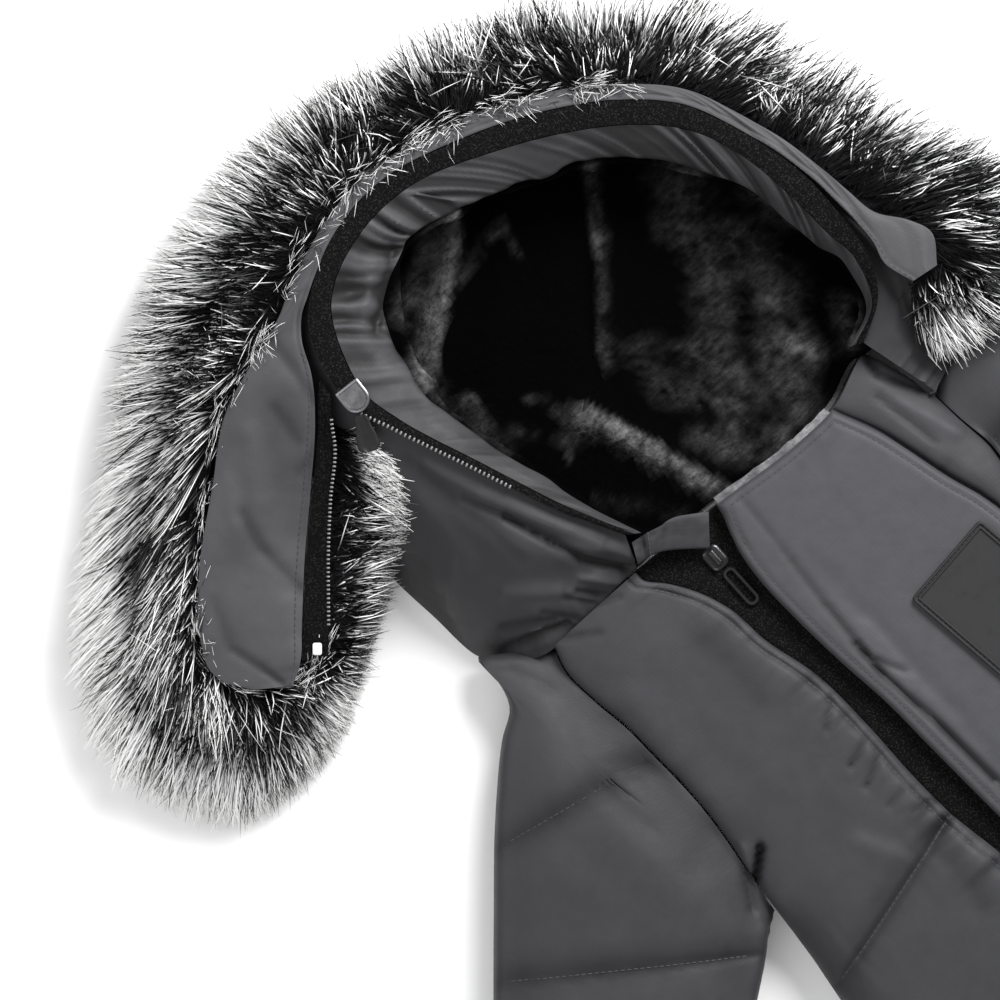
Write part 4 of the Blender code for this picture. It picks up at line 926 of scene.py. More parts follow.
def rubber_label(finish):
    """The bare label with its raised rim and a sewn groove."""
    low = FLAP_Z + FLAP_WALL + LAY_GAP

    def outline(inset):
        shape = rounded_rectangle(LABEL_WIDTH - 2 * inset, LABEL_LENGTH - 2 * inset,
                                  max(2.5 - inset, 0.4), 7) + np.array([inset, -inset])
        return turned(shape, LABEL_TURN, LABEL_CORNER)

    profile = [(0.2, low), (0, low + 0.3), (0, low + 1.9), (0.15, low + 2.35),
               (0.5, low + LABEL_WALL), (1.1, low + LABEL_WALL), (1.35, low + 2.2),
               (1.4, low + 1.5), (2.0, low + 1.5), (2.1, low + 2.1), (2.35, low + 2.35),
               (2.8, low + 2.35), (3.05, low + 2.1), (3.15, low + 1.4), (4.0, low + 1.35)]
    piece = moulded("rubber_label_body", outline, profile, finish)
    place_on(piece, "rubber_label")
    groove = np.concatenate([outline(1.7), outline(1.7)[:1]])
    stitch(np.column_stack([groove, np.full(len(groove), low + 1.6)]), pitch=2.6)


# ---------------------------------------------------------------- sleeves


def blurred(xy, z, size):
    """Heights smoothed over their neighbours in plan."""
    places, heights = xy.reshape(-1, 2), z.ravel()
    out = np.empty(len(places))
    for first in range(0, len(places), 512):
        away = places[first:first + 512, None] - places[None]
        weight = np.exp(-(away ** 2).sum(-1) / (2 * size ** 2))
        out[first:first + 512] = weight @ heights / weight.sum(1)
    return out.reshape(z.shape)


def sleeve_relief(xy, name, side, armhole):
    """A sleeve's slack and creases, its quilting, and its gathers along the armhole."""
    relief = creases(xy, name) + 0.9 * soft(xy, 33 + side, 42)
    for k, line in enumerate(SLEEVE_QUILTS[side]):
        d, along = from_line(xy, line)
        relief -= 2.2 * bell(d, 8.0) + 1.6 * bell(d, 2.2)
        relief += gathers(d, along, 9, 5.0, 0.55, 50 + k + side)
    return relief + gathers(*from_line(xy, armhole), 8, 7.5, 0.8, 61 + side)


def sleeve(name, table, side, finish):
    """A flattened tube, quilted across, that starts along the armhole."""
    v = sack_rows()
    edge_x = read(SACK, "left" if side < 0 else "right", v)
    edge_y = sack_place(v, edge_x)
    s = np.unique(np.concatenate([np.linspace(0, 1, 72), [0.002, 0.006, 0.994, 0.998]]))
    turn = np.linspace(0, 2 * math.pi, SLEEVE_POINTS, endpoint=False)
    a = np.stack([read(table, "top_x", s), read(table, "top_y", s)], -1)
    b = np.stack([read(table, "low_x", s), read(table, "low_y", s)], -1)
    height = read(table, "height", s)
    middle, half = (a + b) / 2, (b - a) / 2
    width = np.linalg.norm(half, axis=1)
    cos, sin = np.cos(turn), np.sin(turn)
    wide = np.sign(cos) * np.abs(cos) ** SLEEVE_BOX
    tall = np.sign(sin) * np.abs(sin) ** SLEEVE_BOX
    near_cuff = grow(s - 0.9, 0.1)

    def ring(outside):
        keep = 1.0 if outside else (width - SLEEVE_WALL) / width
        xy = middle[None] + half[None] * (wide[:, None] * keep)[..., None]
        armhole = np.interp(xy[..., 1], edge_y, edge_x) + side * ARMHOLE_GAP
        straight = np.interp(xy[:, 0, 1], [b[0, 1], a[0, 1]], [b[0, 0], a[0, 0]])
        fade = np.clip(1 - s / 0.3, 0, 1) ** 1.5
        xy[..., 0] += (armhole[:, :1] - straight[:, None]) * fade[None]
        reach = (height if outside else np.full_like(height, SLEEVE_SLIT)) / 2
        mid = reach if outside else height / 2
        z = mid[None] + tall[:, None] * reach[None]
        if outside:
            rounded = tall > 0.25
            share = grow(tall[rounded] - 0.25, 0.35)[:, None]
            z[rounded] += (blurred(xy[rounded], z[rounded], 7.0) - z[rounded]) * share
            upper = np.clip(tall, 0, 1)[:, None]
            relief = sleeve_relief(xy, name, side, np.stack([edge_x, edge_y], -1))
            pleats = 1.1 * np.cos(CUFF_PLEATS * 2.6 * turn + 0.6 * np.sin(5 * turn))
            relief = relief * upper ** 0.7 + pleats[:, None] * near_cuff * (tall > 0.1)[:, None]
            z = z + relief * grow(s, 0.03)[None]
            z = np.where(tall[:, None] < -0.82, np.minimum(z, 0), z).clip(0)
            return np.concatenate([xy, z[..., None]], -1), relief
        return np.concatenate([xy, z[..., None]], -1)

    outer, fold = ring(True)
    # Painted shade and highlight from the sleeve's slack, creases, quilting, gathers and cuff
    # pleats.
    piece = cloth(name + "_cloth", outer, ring(False), finish, around=True, fold=0.6 * fold)
    top_side = outer[tall > 0.2]
    for line in SLEEVE_QUILTS[side]:
        xy = np.linspace(line[0], line[1], 40)[3:-3]
        stitch(on_surface(xy, top_side, 0.05))


# ---------------------------------------------------------------- hood


def hood_profile(s, count=8):
    """The outer shell's sections from the rim down to its lower edge."""
    rim, base = points(OPENING, "rim", s), points(OPENING, "base", s)
    rim = rim - UP * (COLLAR_WALL + 1.8)
    base[:, 2] = base[:, 2].clip(0)
    base[:, :2] += bell(s - 0.175, 0.075)[:, None] * np.array([-2.5, -5.0])
    bulge = read(OPENING, "bulge", s)
    middle = (rim + base) / 2
    control = middle + level(base - rim) * bulge[:, None] + UP * (
        (rim[:, 2] - base[:, 2]) * 0.22)[:, None]
    t = np.linspace(0, 1, count)
    curve = curved(rim, control, base, t)
    leaning = grow(s, 0.06) * grow(0.27 - s, 0.08)
    folds = bell(t - 0.29, 0.09) - 0.8 * bell(t - 0.5, 0.11)
    curve[..., 2] += FOLD_HEIGHT * leaning[:, None] * folds
    return curve


def normals(grid):
    """Unit normals of a grid, by the differences between neighbours."""
    def direction(axis):
        step = np.diff(grid, axis=axis)
        step = step / np.maximum(np.linalg.norm(step, axis=-1, keepdims=True), 1e-9)
        first, last = step.take([0], axis), step.take([-1], axis)
        return np.concatenate([first, step], axis) + np.concatenate([step, last], axis)

    normal = np.cross(direction(0), direction(1))
    return normal / np.maximum(np.linalg.norm(normal, axis=-1), 1e-9)[..., None]


def hood_inside(outer, depth):
    """The shell's inner face, and the unit vectors that point out of the shell."""
    normal = normals(outer)
    centre = np.array([0, 100, 30.0])
    towards = np.sign(((centre - outer) * normal).sum(-1))
    sign = 1.0 if towards.mean() > 0 else -1.0
    moved = outer + normal * sign * depth
    moved[..., 2] = moved[..., 2].clip(0)
    for end in (0, -1):
        moved[:, end, 2] = outer[:, end, 2]
    return moved, normal * -sign


def hood_shell(finish):
    """Two side panels and a crown panel, which meet in two seams."""
    s = np.unique(np.concatenate([np.linspace(0, 0.27, 150), np.linspace(0.27, 1, 110),
                                  HOOD_SEAMS]))
    outer = hood_profile(s, HOOD_ROWS)
    inner, outward = hood_inside(outer, SHELL_WALL)
    down = np.arange(HOOD_ROWS)
    ends = grow(down, 5) * grow(HOOD_ROWS - 1 - down, 5)
    xy = outer[..., :2]
    down = arc(outer, 1)
    around = arc(outer, 0)
    low = down[:, -1:] - down
    relief = 0.7 * soft(outer, 71, 46)
    relief += gathers(down, around, 7, 6.0, 0.7, 73)
    near_neck = grow(0.24 - s, 0.1) + grow(s - 0.9, 0.06)
    relief += gathers(low, around, 16, 6.0, 2.4, 75) * near_neck[:, None]
    relief += 1.3 * creases(xy, "hood_side_right") + 1.3 * creases(xy, "hood_side_left")
    seams = np.searchsorted(s, HOOD_SEAMS)
    for k in seams:
        d = np.abs(around - around[k])
        relief += gathers(d, down, 9, 6.0, 0.8, 77) - 1.2 * bell(d, 1.6)
    outer = outer + outward * (relief * ends[None])[..., None]
    outer[..., 2] = outer[..., 2].clip(0)
    cuts = {
        "hood_side_right": (0, seams[0]), "hood_crown": (seams[0], seams[1]),
        "hood_side_left": (seams[1], len(s) - 1),
    }
    for name, (first, last) in cuts.items():
        out, ins = outer[first:last + 1].copy(), inner[first:last + 1].copy()
        for side in (out, ins):
            for end, near in ((0, 1), (-1, -2)):
                step = side[near] - side[end]
                length = np.linalg.norm(step, axis=-1, keepdims=True)
                side[end] += step / np.maximum(length, 1e-6) * SEAM_GAP / 2
        # Painted shade and highlight from the shell's slack, creases, gathers and seams.
        piece = cloth(name + "_cloth", out, ins, finish, fold=0.45 * relief[first:last + 1])


def hood_back(finish):
    """The part of the hood that lies on the table."""
    y = np.concatenate([np.linspace(19.6, 190, 40), np.linspace(193, 227, 14)])
    x = across(read(HOOD_FLOOR, "left", y), read(HOOD_FLOOR, "right", y), edge_shares(30))
    xy = np.stack([x, np.broadcast_to(y[:, None], x.shape)], -1)
    edge = np.minimum(x - x[:, :1], x[:, -1:] - x)
    low = 0.9 * (1 - crown(edge, 5)) + 0.25 * (1 + noise(xy, 30, 4)) * crown(edge, 8)
    piece = cloth("hood_back_cloth", at_height(xy, low), at_height(xy, HOOD_FLOOR_WALL),
                  finish)


def collar_frame(s):
    """The rim, the tape's inner edge and the facing's inner edge, all round."""
    rim, inner = points(OPENING, "rim", s), points(OPENING, "inner", s)
    step = inner - rim
    length = np.linalg.norm(step, axis=1)
    share = np.minimum(read(OPENING, "tape", s) / length, 0.8)
    middle = rim + step * share[:, None]
    middle[:, 2] = rim[:, 2] - 1.2
    return rim, middle, inner


def hood_tape(finish):
    """The zip tape round the hood's opening, with its free teeth."""
    s = np.linspace(0, 1, 4 * (STATIONS - 1) + 1)
    rim, middle, _ = collar_frame(s)
    share = np.linspace(0, 1, 8)
    high = between(rim, middle, share)
    high[..., 2] += 0.12 * noise(high, 7, 80) + 0.35 * np.sin(math.pi * share)
    piece = cloth("hood_zip_tape_cloth", high, lowered(high, COLLAR_WALL), finish)
    sheet(piece)
    first, last = OPEN_TEETH
    teeth(rim[(s > first) & (s < last)] + UP * 0.55, pitch=2.2)


def hood_facing(finish):
    """The gathered strip between the tape and the lining, with its puckers."""
    s = np.linspace(0, 1, 8 * (STATIONS - 1) + 1)
    _, middle, inner = collar_frame(s)
    step = inner - middle
    length = np.linalg.norm(step, axis=1)[:, None]
    place = arc(inner[:, None], 0)[:, 0]
    back = 2.2 + 8.5 * bell(s - 0.352, 0.034) + 1.6 * ripple(place, 13, 84) + (
        1.1 * ripple(place, 5.5, 85)) * bell(s - 0.5, 0.2)
    inner = inner - step / length * (back * np.sin(math.pi * s) ** 0.4)[:, None]
    step = inner - middle
    length = np.linalg.norm(step, axis=1)[:, None]
    start = middle + step / length * SEAM_GAP * 1.5
    t = np.linspace(0, 1, 19)
    high = between(start, inner, t)
    around = arc(high, 0).mean(1)[:, None]
    wave = 1 + np.cos(2 * math.pi * FACING_PUCKERS * s)[:, None]
    rise = np.interp(t, [0, 0.5, 1], [0.1, 0.8, 0.6])[None]
    gathered = 0.22 + 1.5 * bell(s - 0.44, 0.085) + 0.7 * bell(s - 0.75, 0.1)
    slanted = around + 16 * t[None] * np.sign(0.5 - s)[:, None]
    fine = (0.9 - 2.4 * np.abs(ripple(slanted, 6.5, 82)) + 0.5 * ripple(slanted, 2.8, 83)
            ) * gathered[:, None]
    high[..., 2] += wave * rise * 0.7 + 0.6 * np.sin(math.pi * t)[None] + 1.5 * fine * (
        0.45 + 0.55 * np.sin(math.pi * t) ** 0.7)[None]
    folds = creases(high[..., :2], "hood_facing")
    high[..., 2] += folds
    high[:, -1, 2] -= 0.5
    # Painted shade and highlight from the facing's folds, gathers and puckers, and painted
    # shade over the whole facing.
    piece = cloth("hood_facing_cloth", high, lowered(high, 1.1), finish,
                  fold=1.6 * folds + 2.6 * fine + 0.6 * wave * rise - 0.9)
    sheet(piece)


def bowl():
    """The lining's two faces at the solid's own points."""
    s = np.linspace(0, 1, STATIONS)
    inner, base = points(OPENING, "inner", s), points(OPENING, "base", s)
    shell_mid = hood_profile(s)[:, 4]
    inward = level(np.array([0.0, 110.0, 0.0]) - base)
    top = inner - UP * (COLLAR_WALL + 2.6)
    low = base + inward * 15
    low[:, 1] = np.maximum(low[:, 1], read(NECK, "y", low[:, 0]) + 7)
    low[:, 2] = HOOD_FLOOR_WALL + LAY_GAP + LINING_WALL + 1.5
    control = shell_mid + inward * 13
    control[:, 1] = np.maximum(control[:, 1], read(NECK, "y", control[:, 0]) + 7)
    control[:, 2] = np.minimum(control[:, 2], top[:, 2] - 6) * 0.8
    steps = np.linspace(0, 1, LINING_STEPS)
    curve = curved(top, control, low, steps)
    u = np.linspace(0, 1, NECK_SECTIONS + 2)[1:-1, None]
    foot = curve[-1, -1] * (1 - u) + curve[0, -1] * u
    foot[:, 1] = read(NECK, "y", foot[:, 0]) + 8
    lip = foot + np.array([0, -3.0, 3.0])
    neck = between(lip, foot, steps)
    for k, ends in ((0, curve[-1]), (-1, curve[0])):
        neck[k] = neck[k] * 0.6 + ends * 0.4
        neck[k, :, 1] = np.maximum(neck[k, :, 1], read(NECK, "y", neck[k, :, 0]) + 5)
    loop = np.concatenate([curve, neck])
    pole = np.array([2.0, 105.0, HOOD_FLOOR_WALL + LAY_GAP + LINING_WALL])
    floor = [loop[:, -1:] * (1 - t) + pole * t for t in FLOOR_SHARES]
    upper = np.concatenate([loop, *floor], 1)
    outward = np.concatenate([-inward, np.broadcast_to([0, -0.22, 0], (NECK_SECTIONS, 3))])
    edge = loop[:, :1] + outward[:, None] * 11 + UP * 0.4
    return np.concatenate([edge, upper], 1)


def paint_lining_highlight(mesh):
    """Paints highlight: keeps how pale the lining looks where its folds and pile catch the
    light, as a second set of places on the cloth.
    """
    verts = np.empty(len(mesh.vertices) * 3)
    mesh.vertices.foreach_get("co", verts)
    verts = verts.reshape(-1, 3) / MM
    pale = np.zeros(len(verts))
    for x0, y0, x1, y1, width, much, side in LINING_HIGHLIGHTS:
        away = from_line(verts[:, :2], [(x0, y0), (x1, y1)])[0]
        left = (x1 - x0) * (verts[:, 1] - y0) - (y1 - y0) * (verts[:, 0] - x0)
        pale += 0.8 * much * bell(away, np.where(side * left > 0, 2.2, width))
    mottle = 0.78 + 0.60 * noise(verts, 8, 121) + 0.45 * noise(verts, 3.2, 122)
    pale = (pale * mottle.clip(0.1) - 0.03).clip(0, 1)
    corners = np.empty(len(mesh.loops), int)
    mesh.loops.foreach_get("vertex_index", corners)
    # Painted highlight, kept in the layer named nap.
    layer = mesh.uv_layers.new(name="nap")
    layer.data.foreach_set("uv", np.stack([pale[corners], 0 * pale[corners]], -1).ravel())


def hood_lining(finish):
    """The plush bowl, with its seam, its folds, the nap's unevenness and painted highlight
    where its folds catch the light.
    """
    upper = bowl()
    upper[:, -1] = upper[:, -1] + (upper[:, -2] - upper[:, -1]) * 0.02
    fine = refine(refine(upper, 4, 0, around=True), 5, 1)
    steps = fine.shape[1]
    centred = np.interp(np.arange(steps) / 5, np.arange(steps // 5 + 1),
                        [0] * (LINING_STEPS + 1) + list(FLOOR_SHARES))
    even = np.mean([np.roll(fine, k, 0) for k in range(-9, 10)], 0)
    fine += (even - fine) * centred.clip(0.15, 1)[None, :, None]
    fine[..., 2] += (fine[..., 2].mean(0) - fine[..., 2]) * centred ** 1.5
    normal = normals(np.concatenate([fine[-1:], fine, fine[:1]]))[1:-1]
    normal = normal * np.sign(normal[:, -2, 2].mean())
    body = grow(np.arange(steps), 6) * grow(steps - 1 - np.arange(steps), 4)
    relief = creases(fine[..., :2], "hood_lining") + 1.5 * soft(fine, 91, 30).clip(-1)
    nap = 0.45 * noise(fine, 2.4, 93) + 0.3 * noise(fine, 5.0, 94)
    shown = fine + normal * ((relief.clip(-2.2) + 1.0) * body[None] + nap)[..., None]
    back = fine - normal * 1.2
    back[..., 2] = np.maximum(back[..., 2], HOOD_FLOOR_WALL + LAY_GAP)
    shown[..., 2] = np.maximum(shown[..., 2], back[..., 2] + 0.5)
    piece = cloth("hood_lining_plush", shown, back, finish, around=True)
    sheet(piece)
    paint_lining_highlight(piece.data)


# ---------------------------------------------------------------- fur trim


def beside_rim(places, distance):
    """The places' nearest points of the hood's rim, moved outwards by a distance."""
    rim = points(OPENING, "rim", np.linspace(0, 1, STATIONS))
    start, step = rim[:-1], np.diff(rim, axis=0)
    away = places[:, None, :2] - start[None, :, :2]
    t = (away * step[None, :, :2]).sum(-1) / (step[:, :2] ** 2).sum(-1)[None]
    t = t.clip(0, 1)[..., None]
    near = start[None] + step[None] * t
    best = np.linalg.norm(near - places[:, None], axis=-1).argmin(1)
    tangent = step[best] / np.linalg.norm(step[best, :2], axis=1)[:, None]
    outward = np.stack([-tangent[:, 1], tangent[:, 0], np.zeros(len(places))], -1)
    return near[np.arange(len(places)), best] + outward * distance


def trim_strip(finish):
    """The strip of cloth that carries the fur, loose at one end."""
    s = np.concatenate([np.linspace(0, 0.94, 42), [0.955, 0.97, 0.98, 0.99, 1.0]])
    a, b = points(STRIP, "outer", s), points(STRIP, "inner", s)
    zipped = (grow(s - 0.37, 0.06) * grow(0.97 - s, 0.06))[:, None]
    b = b * (1 - zipped) + beside_rim(b, STRIP_GAP) * zipped
    share = np.concatenate([[0, 0.015, 0.04], np.linspace(0.08, 0.9, 16),
                            [0.93, 0.955, 0.975, 1.0]])
    high = refine(between(a, b, share), 6, 0)
    s = np.interp(np.arange(len(high)) / 6, np.arange(len(s)), s)
    loose = grow(0.40 - s, 0.06)
    around = arc(high, 0)
    from_inner = arc(high, 1)[:, -1:] - arc(high, 1)
    xy = high[..., :2]
    puffed = np.sin(math.pi * share) ** 0.6
    relief = creases(xy, "trim_strip") + 1.2 * (soft(xy, 95, 30) + 0.2) * loose[:, None]
    relief += gathers(from_inner, around.mean(1)[:, None] + 0 * share, 9, 7, 1.0, 97) * loose[
        :, None]
    relief += (0.7 * ripple(around, 9, 98) + 0.4 * ripple(around, 4, 99)) * (1 - loose)[:, None]
    high[..., 2] += relief * puffed[None] + 0.7 * puffed[None]
    high[..., 2] -= 0.5 * bell(from_inner - 2.2, 0.7)
    # Painted shade and highlight from the strip's creases, slack and gathers.
    piece = cloth("trim_strip_cloth", high, lowered(high, 1.3), finish, fold=relief)
    sheet(piece)
    line = high[:, -4] + UP * 0.15
    stitch(line[s < 0.36])
    stitch(line[s > 0.9])


def trim_tape(finish):
    """The zip tape of the strip's loose part, with its teeth."""
    s = np.linspace(0, 1, 70)
    a, b = points(TRIM_TAPE, "edge", s), points(TRIM_TAPE, "teeth", s)
    high = between(a, b, np.linspace(0, 1, 9))
    high[..., 2] += 0.15 * noise(high, 8, 101)
    piece = cloth("trim_zip_tape_cloth", high, lowered(high, 0.9), finish)
    sheet(piece)
    teeth(b[(s > 0.1) & (s < 0.93)] + UP * 0.35, pitch=2.0, length=1.7, width=1.0)


def fur_sections(s):
    """The fur's outermost roots and tips."""
    return points(HAIR, "root", s), points(HAIR, "tip", s)


def fur_base(finish):
    """The dense underfur that the long hair stands in: the solid's form, drawn in."""
    s = np.linspace(0, 1, 190)
    root, tip = fur_sections(s)
    start = root + level(root - tip) * 7
    start[:, 2] = root[:, 2] - 5
    share = np.linspace(0, 1, 14)
    xy = between(start, tip, share * UNDERFUR_REACH)
    fallen = (share ** PELT_CURVE)[None]
    top = start[:, 2:] * (1 - fallen) + (tip[:, 2:] * PELT_DROP) * fallen
    xy[..., 2] = top + 1.8 * noise(xy[..., :2], 9, 103) * np.sin(math.pi * share)[None]
    hem = np.linspace(1, 0, 7)[None, 1:, None]
    side = xy[:, -1:] * np.array([1, 1, 0]) + UP * (
        xy[:, -1:, 2:] * hem + 1.0 * (1 - hem))
    under_tips = tip[:, None] - xy[:, -1:]
    under_tips[..., 2] = 0
    side = side + under_tips * (0.25 * np.sin(math.pi * hem) + 0.05)
    outer = np.concatenate([xy, side], 1)
    inner = outer.copy()
    inner[..., 2] = 0.6
    lift = SHOULDER_LIFT * grow(s - 0.965, 0.03)[:, None]
    inner[..., 2] += lift
    outer[..., 2] = np.maximum(outer[..., 2], inner[..., 2] + 0.4)
    piece = cloth("fur_trim_base", outer, inner, finish)


@functools.cache
def hood_heights():
    """How high the hood's outside stands, on a raster of small squares."""
    shell = hood_profile(np.linspace(0, 1, 1400), 110)
    size = int(2 * HOOD_REACH / HOOD_CELL)
    heights = np.zeros((size, size))
    np.maximum.at(heights, hood_cells(shell), shell[..., 2])
    return heights


def pelt_height(root, tip, share):
    """The underfur's height at a share of the way from the roots to the tips."""
    fallen = (share / UNDERFUR_REACH).clip(0, 1) ** PELT_CURVE
    return root[:, 2] * (1 - fallen) + tip[:, 2] * PELT_DROP * fallen


def hood_cells(places):
    """The raster's squares in which places lie."""
    cell = ((places[..., :2] + HOOD_REACH) / HOOD_CELL).astype(int)
    return cell[..., 0], cell[..., 1]


def ribbons(line, half):
    """Flat strips along lines, with half of their width on each side."""
    count, parts = line.shape[:2]
    verts = np.stack([line + half, line - half], 2).reshape(-1, 3)
    first = (np.arange(count) * 2 * parts)[:, None, None]
    step = (np.arange(parts - 1) * 2)[None, :, None]
    return verts, (first + step + np.array([0, 1, 3, 2])[None, None]).reshape(-1, 4)


def hair(name, s_from, s_to, count, finish, seed, edge=False):
    """A part of the fur: tapered flat hairs in tufts that lie over each other like
    shingles, black at the root and silver at the tip. The edge's fine short hairs lean
    over the strip that carries the fur."""
    rng = np.random.default_rng(seed)
    tufts = count // (EDGE_TUFT if edge else TUFT)
    s_dense = np.linspace(s_from, s_to, 400)
    root, tip = fur_sections(s_dense)
    middle = root if edge else root * 0.45 + tip * 0.55
    length = arc(middle[:, None], 0)[:, 0]
    along = rng.uniform(0, length[-1], tufts)
    s = np.interp(along, length, s_dense)
    root, tip = fur_sections(s)
    side = np.gradient(middle, axis=0) * [1, 1, 0]
    side /= np.linalg.norm(side, axis=1)[:, None]
    side = np.stack([np.interp(along, length, side[:, k]) for k in range(3)], -1)
    reach = tip - root
    flat = np.linalg.norm(reach[:, :2], axis=1)
    out = reach * [1, 1, 0] / flat[:, None]
    strand = np.minimum(flat, 23 + 0.20 * flat) * (1 + 0.14 * rng.uniform(-1, 1, tufts))
    depth = rng.uniform(0, 1, tufts) ** 0.85
    fall = depth * (1 - 0.94 * strand / flat)
    if edge:
        strand, depth = rng.uniform(6, 14, tufts), 0 * depth
        fall = rng.uniform(0, 0.06, tufts)
    base = root + out * (flat * fall)[:, None]
    base[:, 2] = pelt_height(root, tip, fall) - 2.5
    swirl = noise(base[:, :2], 19, 61) + 0.5 * noise(base[:, :2], 9, 62)
    lean = 0.62 * swirl + 0.14 * rng.normal(0, 1, tufts)
    shade = 0.6 * noise(base[:, :2], 13, 63) + 0.4 * rng.uniform(-1, 1, tufts)
    lift = rng.uniform(-1, 1, tufts)
    if edge:
        lean = rng.uniform(1.2, 2.8, tufts) * rng.choice([-1, 1], tufts)

    # Each hair belongs to a tuft: apart at the roots, together near the tips.
    own = rng.integers(0, tufts, count)
    side, out, tip, root = side[own], out[own], tip[own], root[own]
    offset = rng.normal(0, 2.2, (count, 2))
    start = base[own] + side * offset[:, :1] + out * offset[:, 1:]
    size = strand[own] * (1 + 0.07 * rng.normal(0, 1, count))
    short = rng.uniform(0, 1, count) < 0.25
    size = np.where(short, size * rng.uniform(0.45, 0.85, count), size)
    angle = lean[own] + 0.10 * rng.normal(0, 1, count)
    stray = rng.uniform(0, 1, count) < 0.04
    angle = np.where(stray, angle + rng.normal(0, 0.4, count), angle)
    heading = out * np.cos(angle)[:, None] + side * np.sin(angle)[:, None]
    reached = fall[own] + size * np.cos(angle) / flat[own]
    over = pelt_height(root, tip, reached) + rng.uniform(1.5, 8, count)
    hanging = tip[:, 2] * rng.uniform(0.02, 1.0, count) ** 0.95
    free = grow(reached - 0.62, 0.3)
    end_z = over * (1 - free) + hanging * free
    if edge:
        end_z = start[:, 2] + 3.0 + size * 0.22 * (1.2 + lift[own])
    knee = start + heading * (size * 0.48)[:, None]
    knee[:, 2] = np.maximum(start[:, 2], end_z) + size * (0.16 + 0.07 * lift[own])
    end = start + heading * size[:, None] - side * offset[:, :1] * 0.7
    end[:, 2] = end_z
    end += side * rng.normal(0, 0.9, (count, 1))
    end[:, 2] = end[:, 2].clip(0.8)
    t = np.array([0, 0.36, 0.72, 1.0])
    line = curved(start, knee, end, t)
    bend = 0.12 * swirl[own] + rng.normal(0, 0.06, count)
    curl = (bend * size)[:, None] * np.sin(math.pi * t)[None]
    line += side[:, None] * curl[..., None]
    hood = hood_heights()[hood_cells(line)]
    line[..., 2] = np.maximum(line[..., 2], hood + 0.8).clip(0.5)
    up = UP + 0.3 * rng.normal(0, 1, (count, 1, 3))
    across_hair = np.cross(np.gradient(line, axis=1), up)
    across_hair /= np.linalg.norm(across_hair, axis=-1, keepdims=True)
    thick = rng.uniform(0.65, 1.3, count) * (0.5 if edge else 1.0)
    width = np.array([0.46, 0.44, 0.36, 0.12])[None] * thick[:, None]
    verts, faces = ribbons(line, across_hair * width[..., None] / 2)
    left = bell(s - 0.36, 0.12)
    share = 0.19 + 0.54 * depth + 0.66 * shade + left * (0.34 * depth - 0.03)
    share = share.clip(0.05, 0.96)
    if edge:
        share = np.full(tufts, 0.45)
    pale = rng.uniform(0, 1, count) < share[own]
    tone = np.where(pale, rng.uniform(0.52, 0.75 if edge else 0.97, count),
                    rng.uniform(0.03, 0.40, count))
    lower, upper = t[:-1], t[1:]
    u = np.stack([lower, lower, upper, upper], -1)[None].repeat(count, 0)
    spread = np.array([-0.006, 0.006, 0.006, -0.006])[None, None]
    places = np.stack([u, tone[:, None, None] + spread + 0 * u], -1).reshape(-1, 2)
    piece = make(name, verts, faces, finish, places, layer="OFBake", sharp=math.pi)
    place_on(piece)


# ---------------------------------------------------------------- small pieces


def neck_tab(finish):
    """The small folded tab over the zip's upper end."""
    s = np.linspace(0, 1, 7)
    a, b = points(TAB, "down", s), points(TAB, "up", s)
    share = np.linspace(0, 1, 18)
    high = refine(between(a, b, share), 6, 0)
    down = arc(high, 0)
    folds = 0.9 * ripple(arc(high, 1) + 0.3 * down, 5.0, 111) + 0.4 * noise(high, 2.5, 112)
    start = np.exp(-down / 12)
    rounded = np.sin(math.pi * share) ** 0.5
    high[..., 2] += (folds * (0.35 + start) + 1.4) * rounded[None]
    high[..., 2] -= 1.3 * bell(down - 5.5, 1.0) * rounded[None]
    # Painted shade and highlight from the tab's folds, with painted shade in its sewn crease.
    piece = cloth("neck_tab_cloth", high, lowered(high, 1.0 + 2.2 * rounded), finish,
                  fold=2.4 * folds * (0.35 + start) - 2.4 * bell(down - 5.5, 1.0))
    stitch(high[np.abs(down[:, 9] - 7.5).argmin(), 1:-1] + UP * 0.15, pitch=2.2)


def plate_outline(width, length, radius, inset):
    """A rounded rectangle set in from its edge, centred in X, running down in Y."""
    shape = rounded_rectangle(width - 2 * inset, length - 2 * inset, max(radius - inset, 0.3),
                              7)
    return shape - np.array([width / 2 - inset, inset])


def ring_piece(name, outline_at, hole_at, low, high, finish):
    """A flat ring with softened edges."""
    soft_edge = 0.3
    levels = [(hole_at(0), low), (outline_at(soft_edge), low), (outline_at(0), low + soft_edge),
              (outline_at(0), high - soft_edge), (outline_at(soft_edge), high),
              (hole_at(-soft_edge), high), (hole_at(0), high - soft_edge)]
    verts = np.concatenate([np.column_stack([ring, np.full(len(ring), z)])
                            for ring, z in levels])
    n, faces = len(levels[0][0]), []
    for r in range(len(levels)):
        for k in range(n):
            a, b = r * n, ((r + 1) % len(levels)) * n
            faces.append([a + k, a + (k + 1) % n, b + (k + 1) % n, b + k])
    return make(name, verts, faces, finish, sharp=math.radians(40))


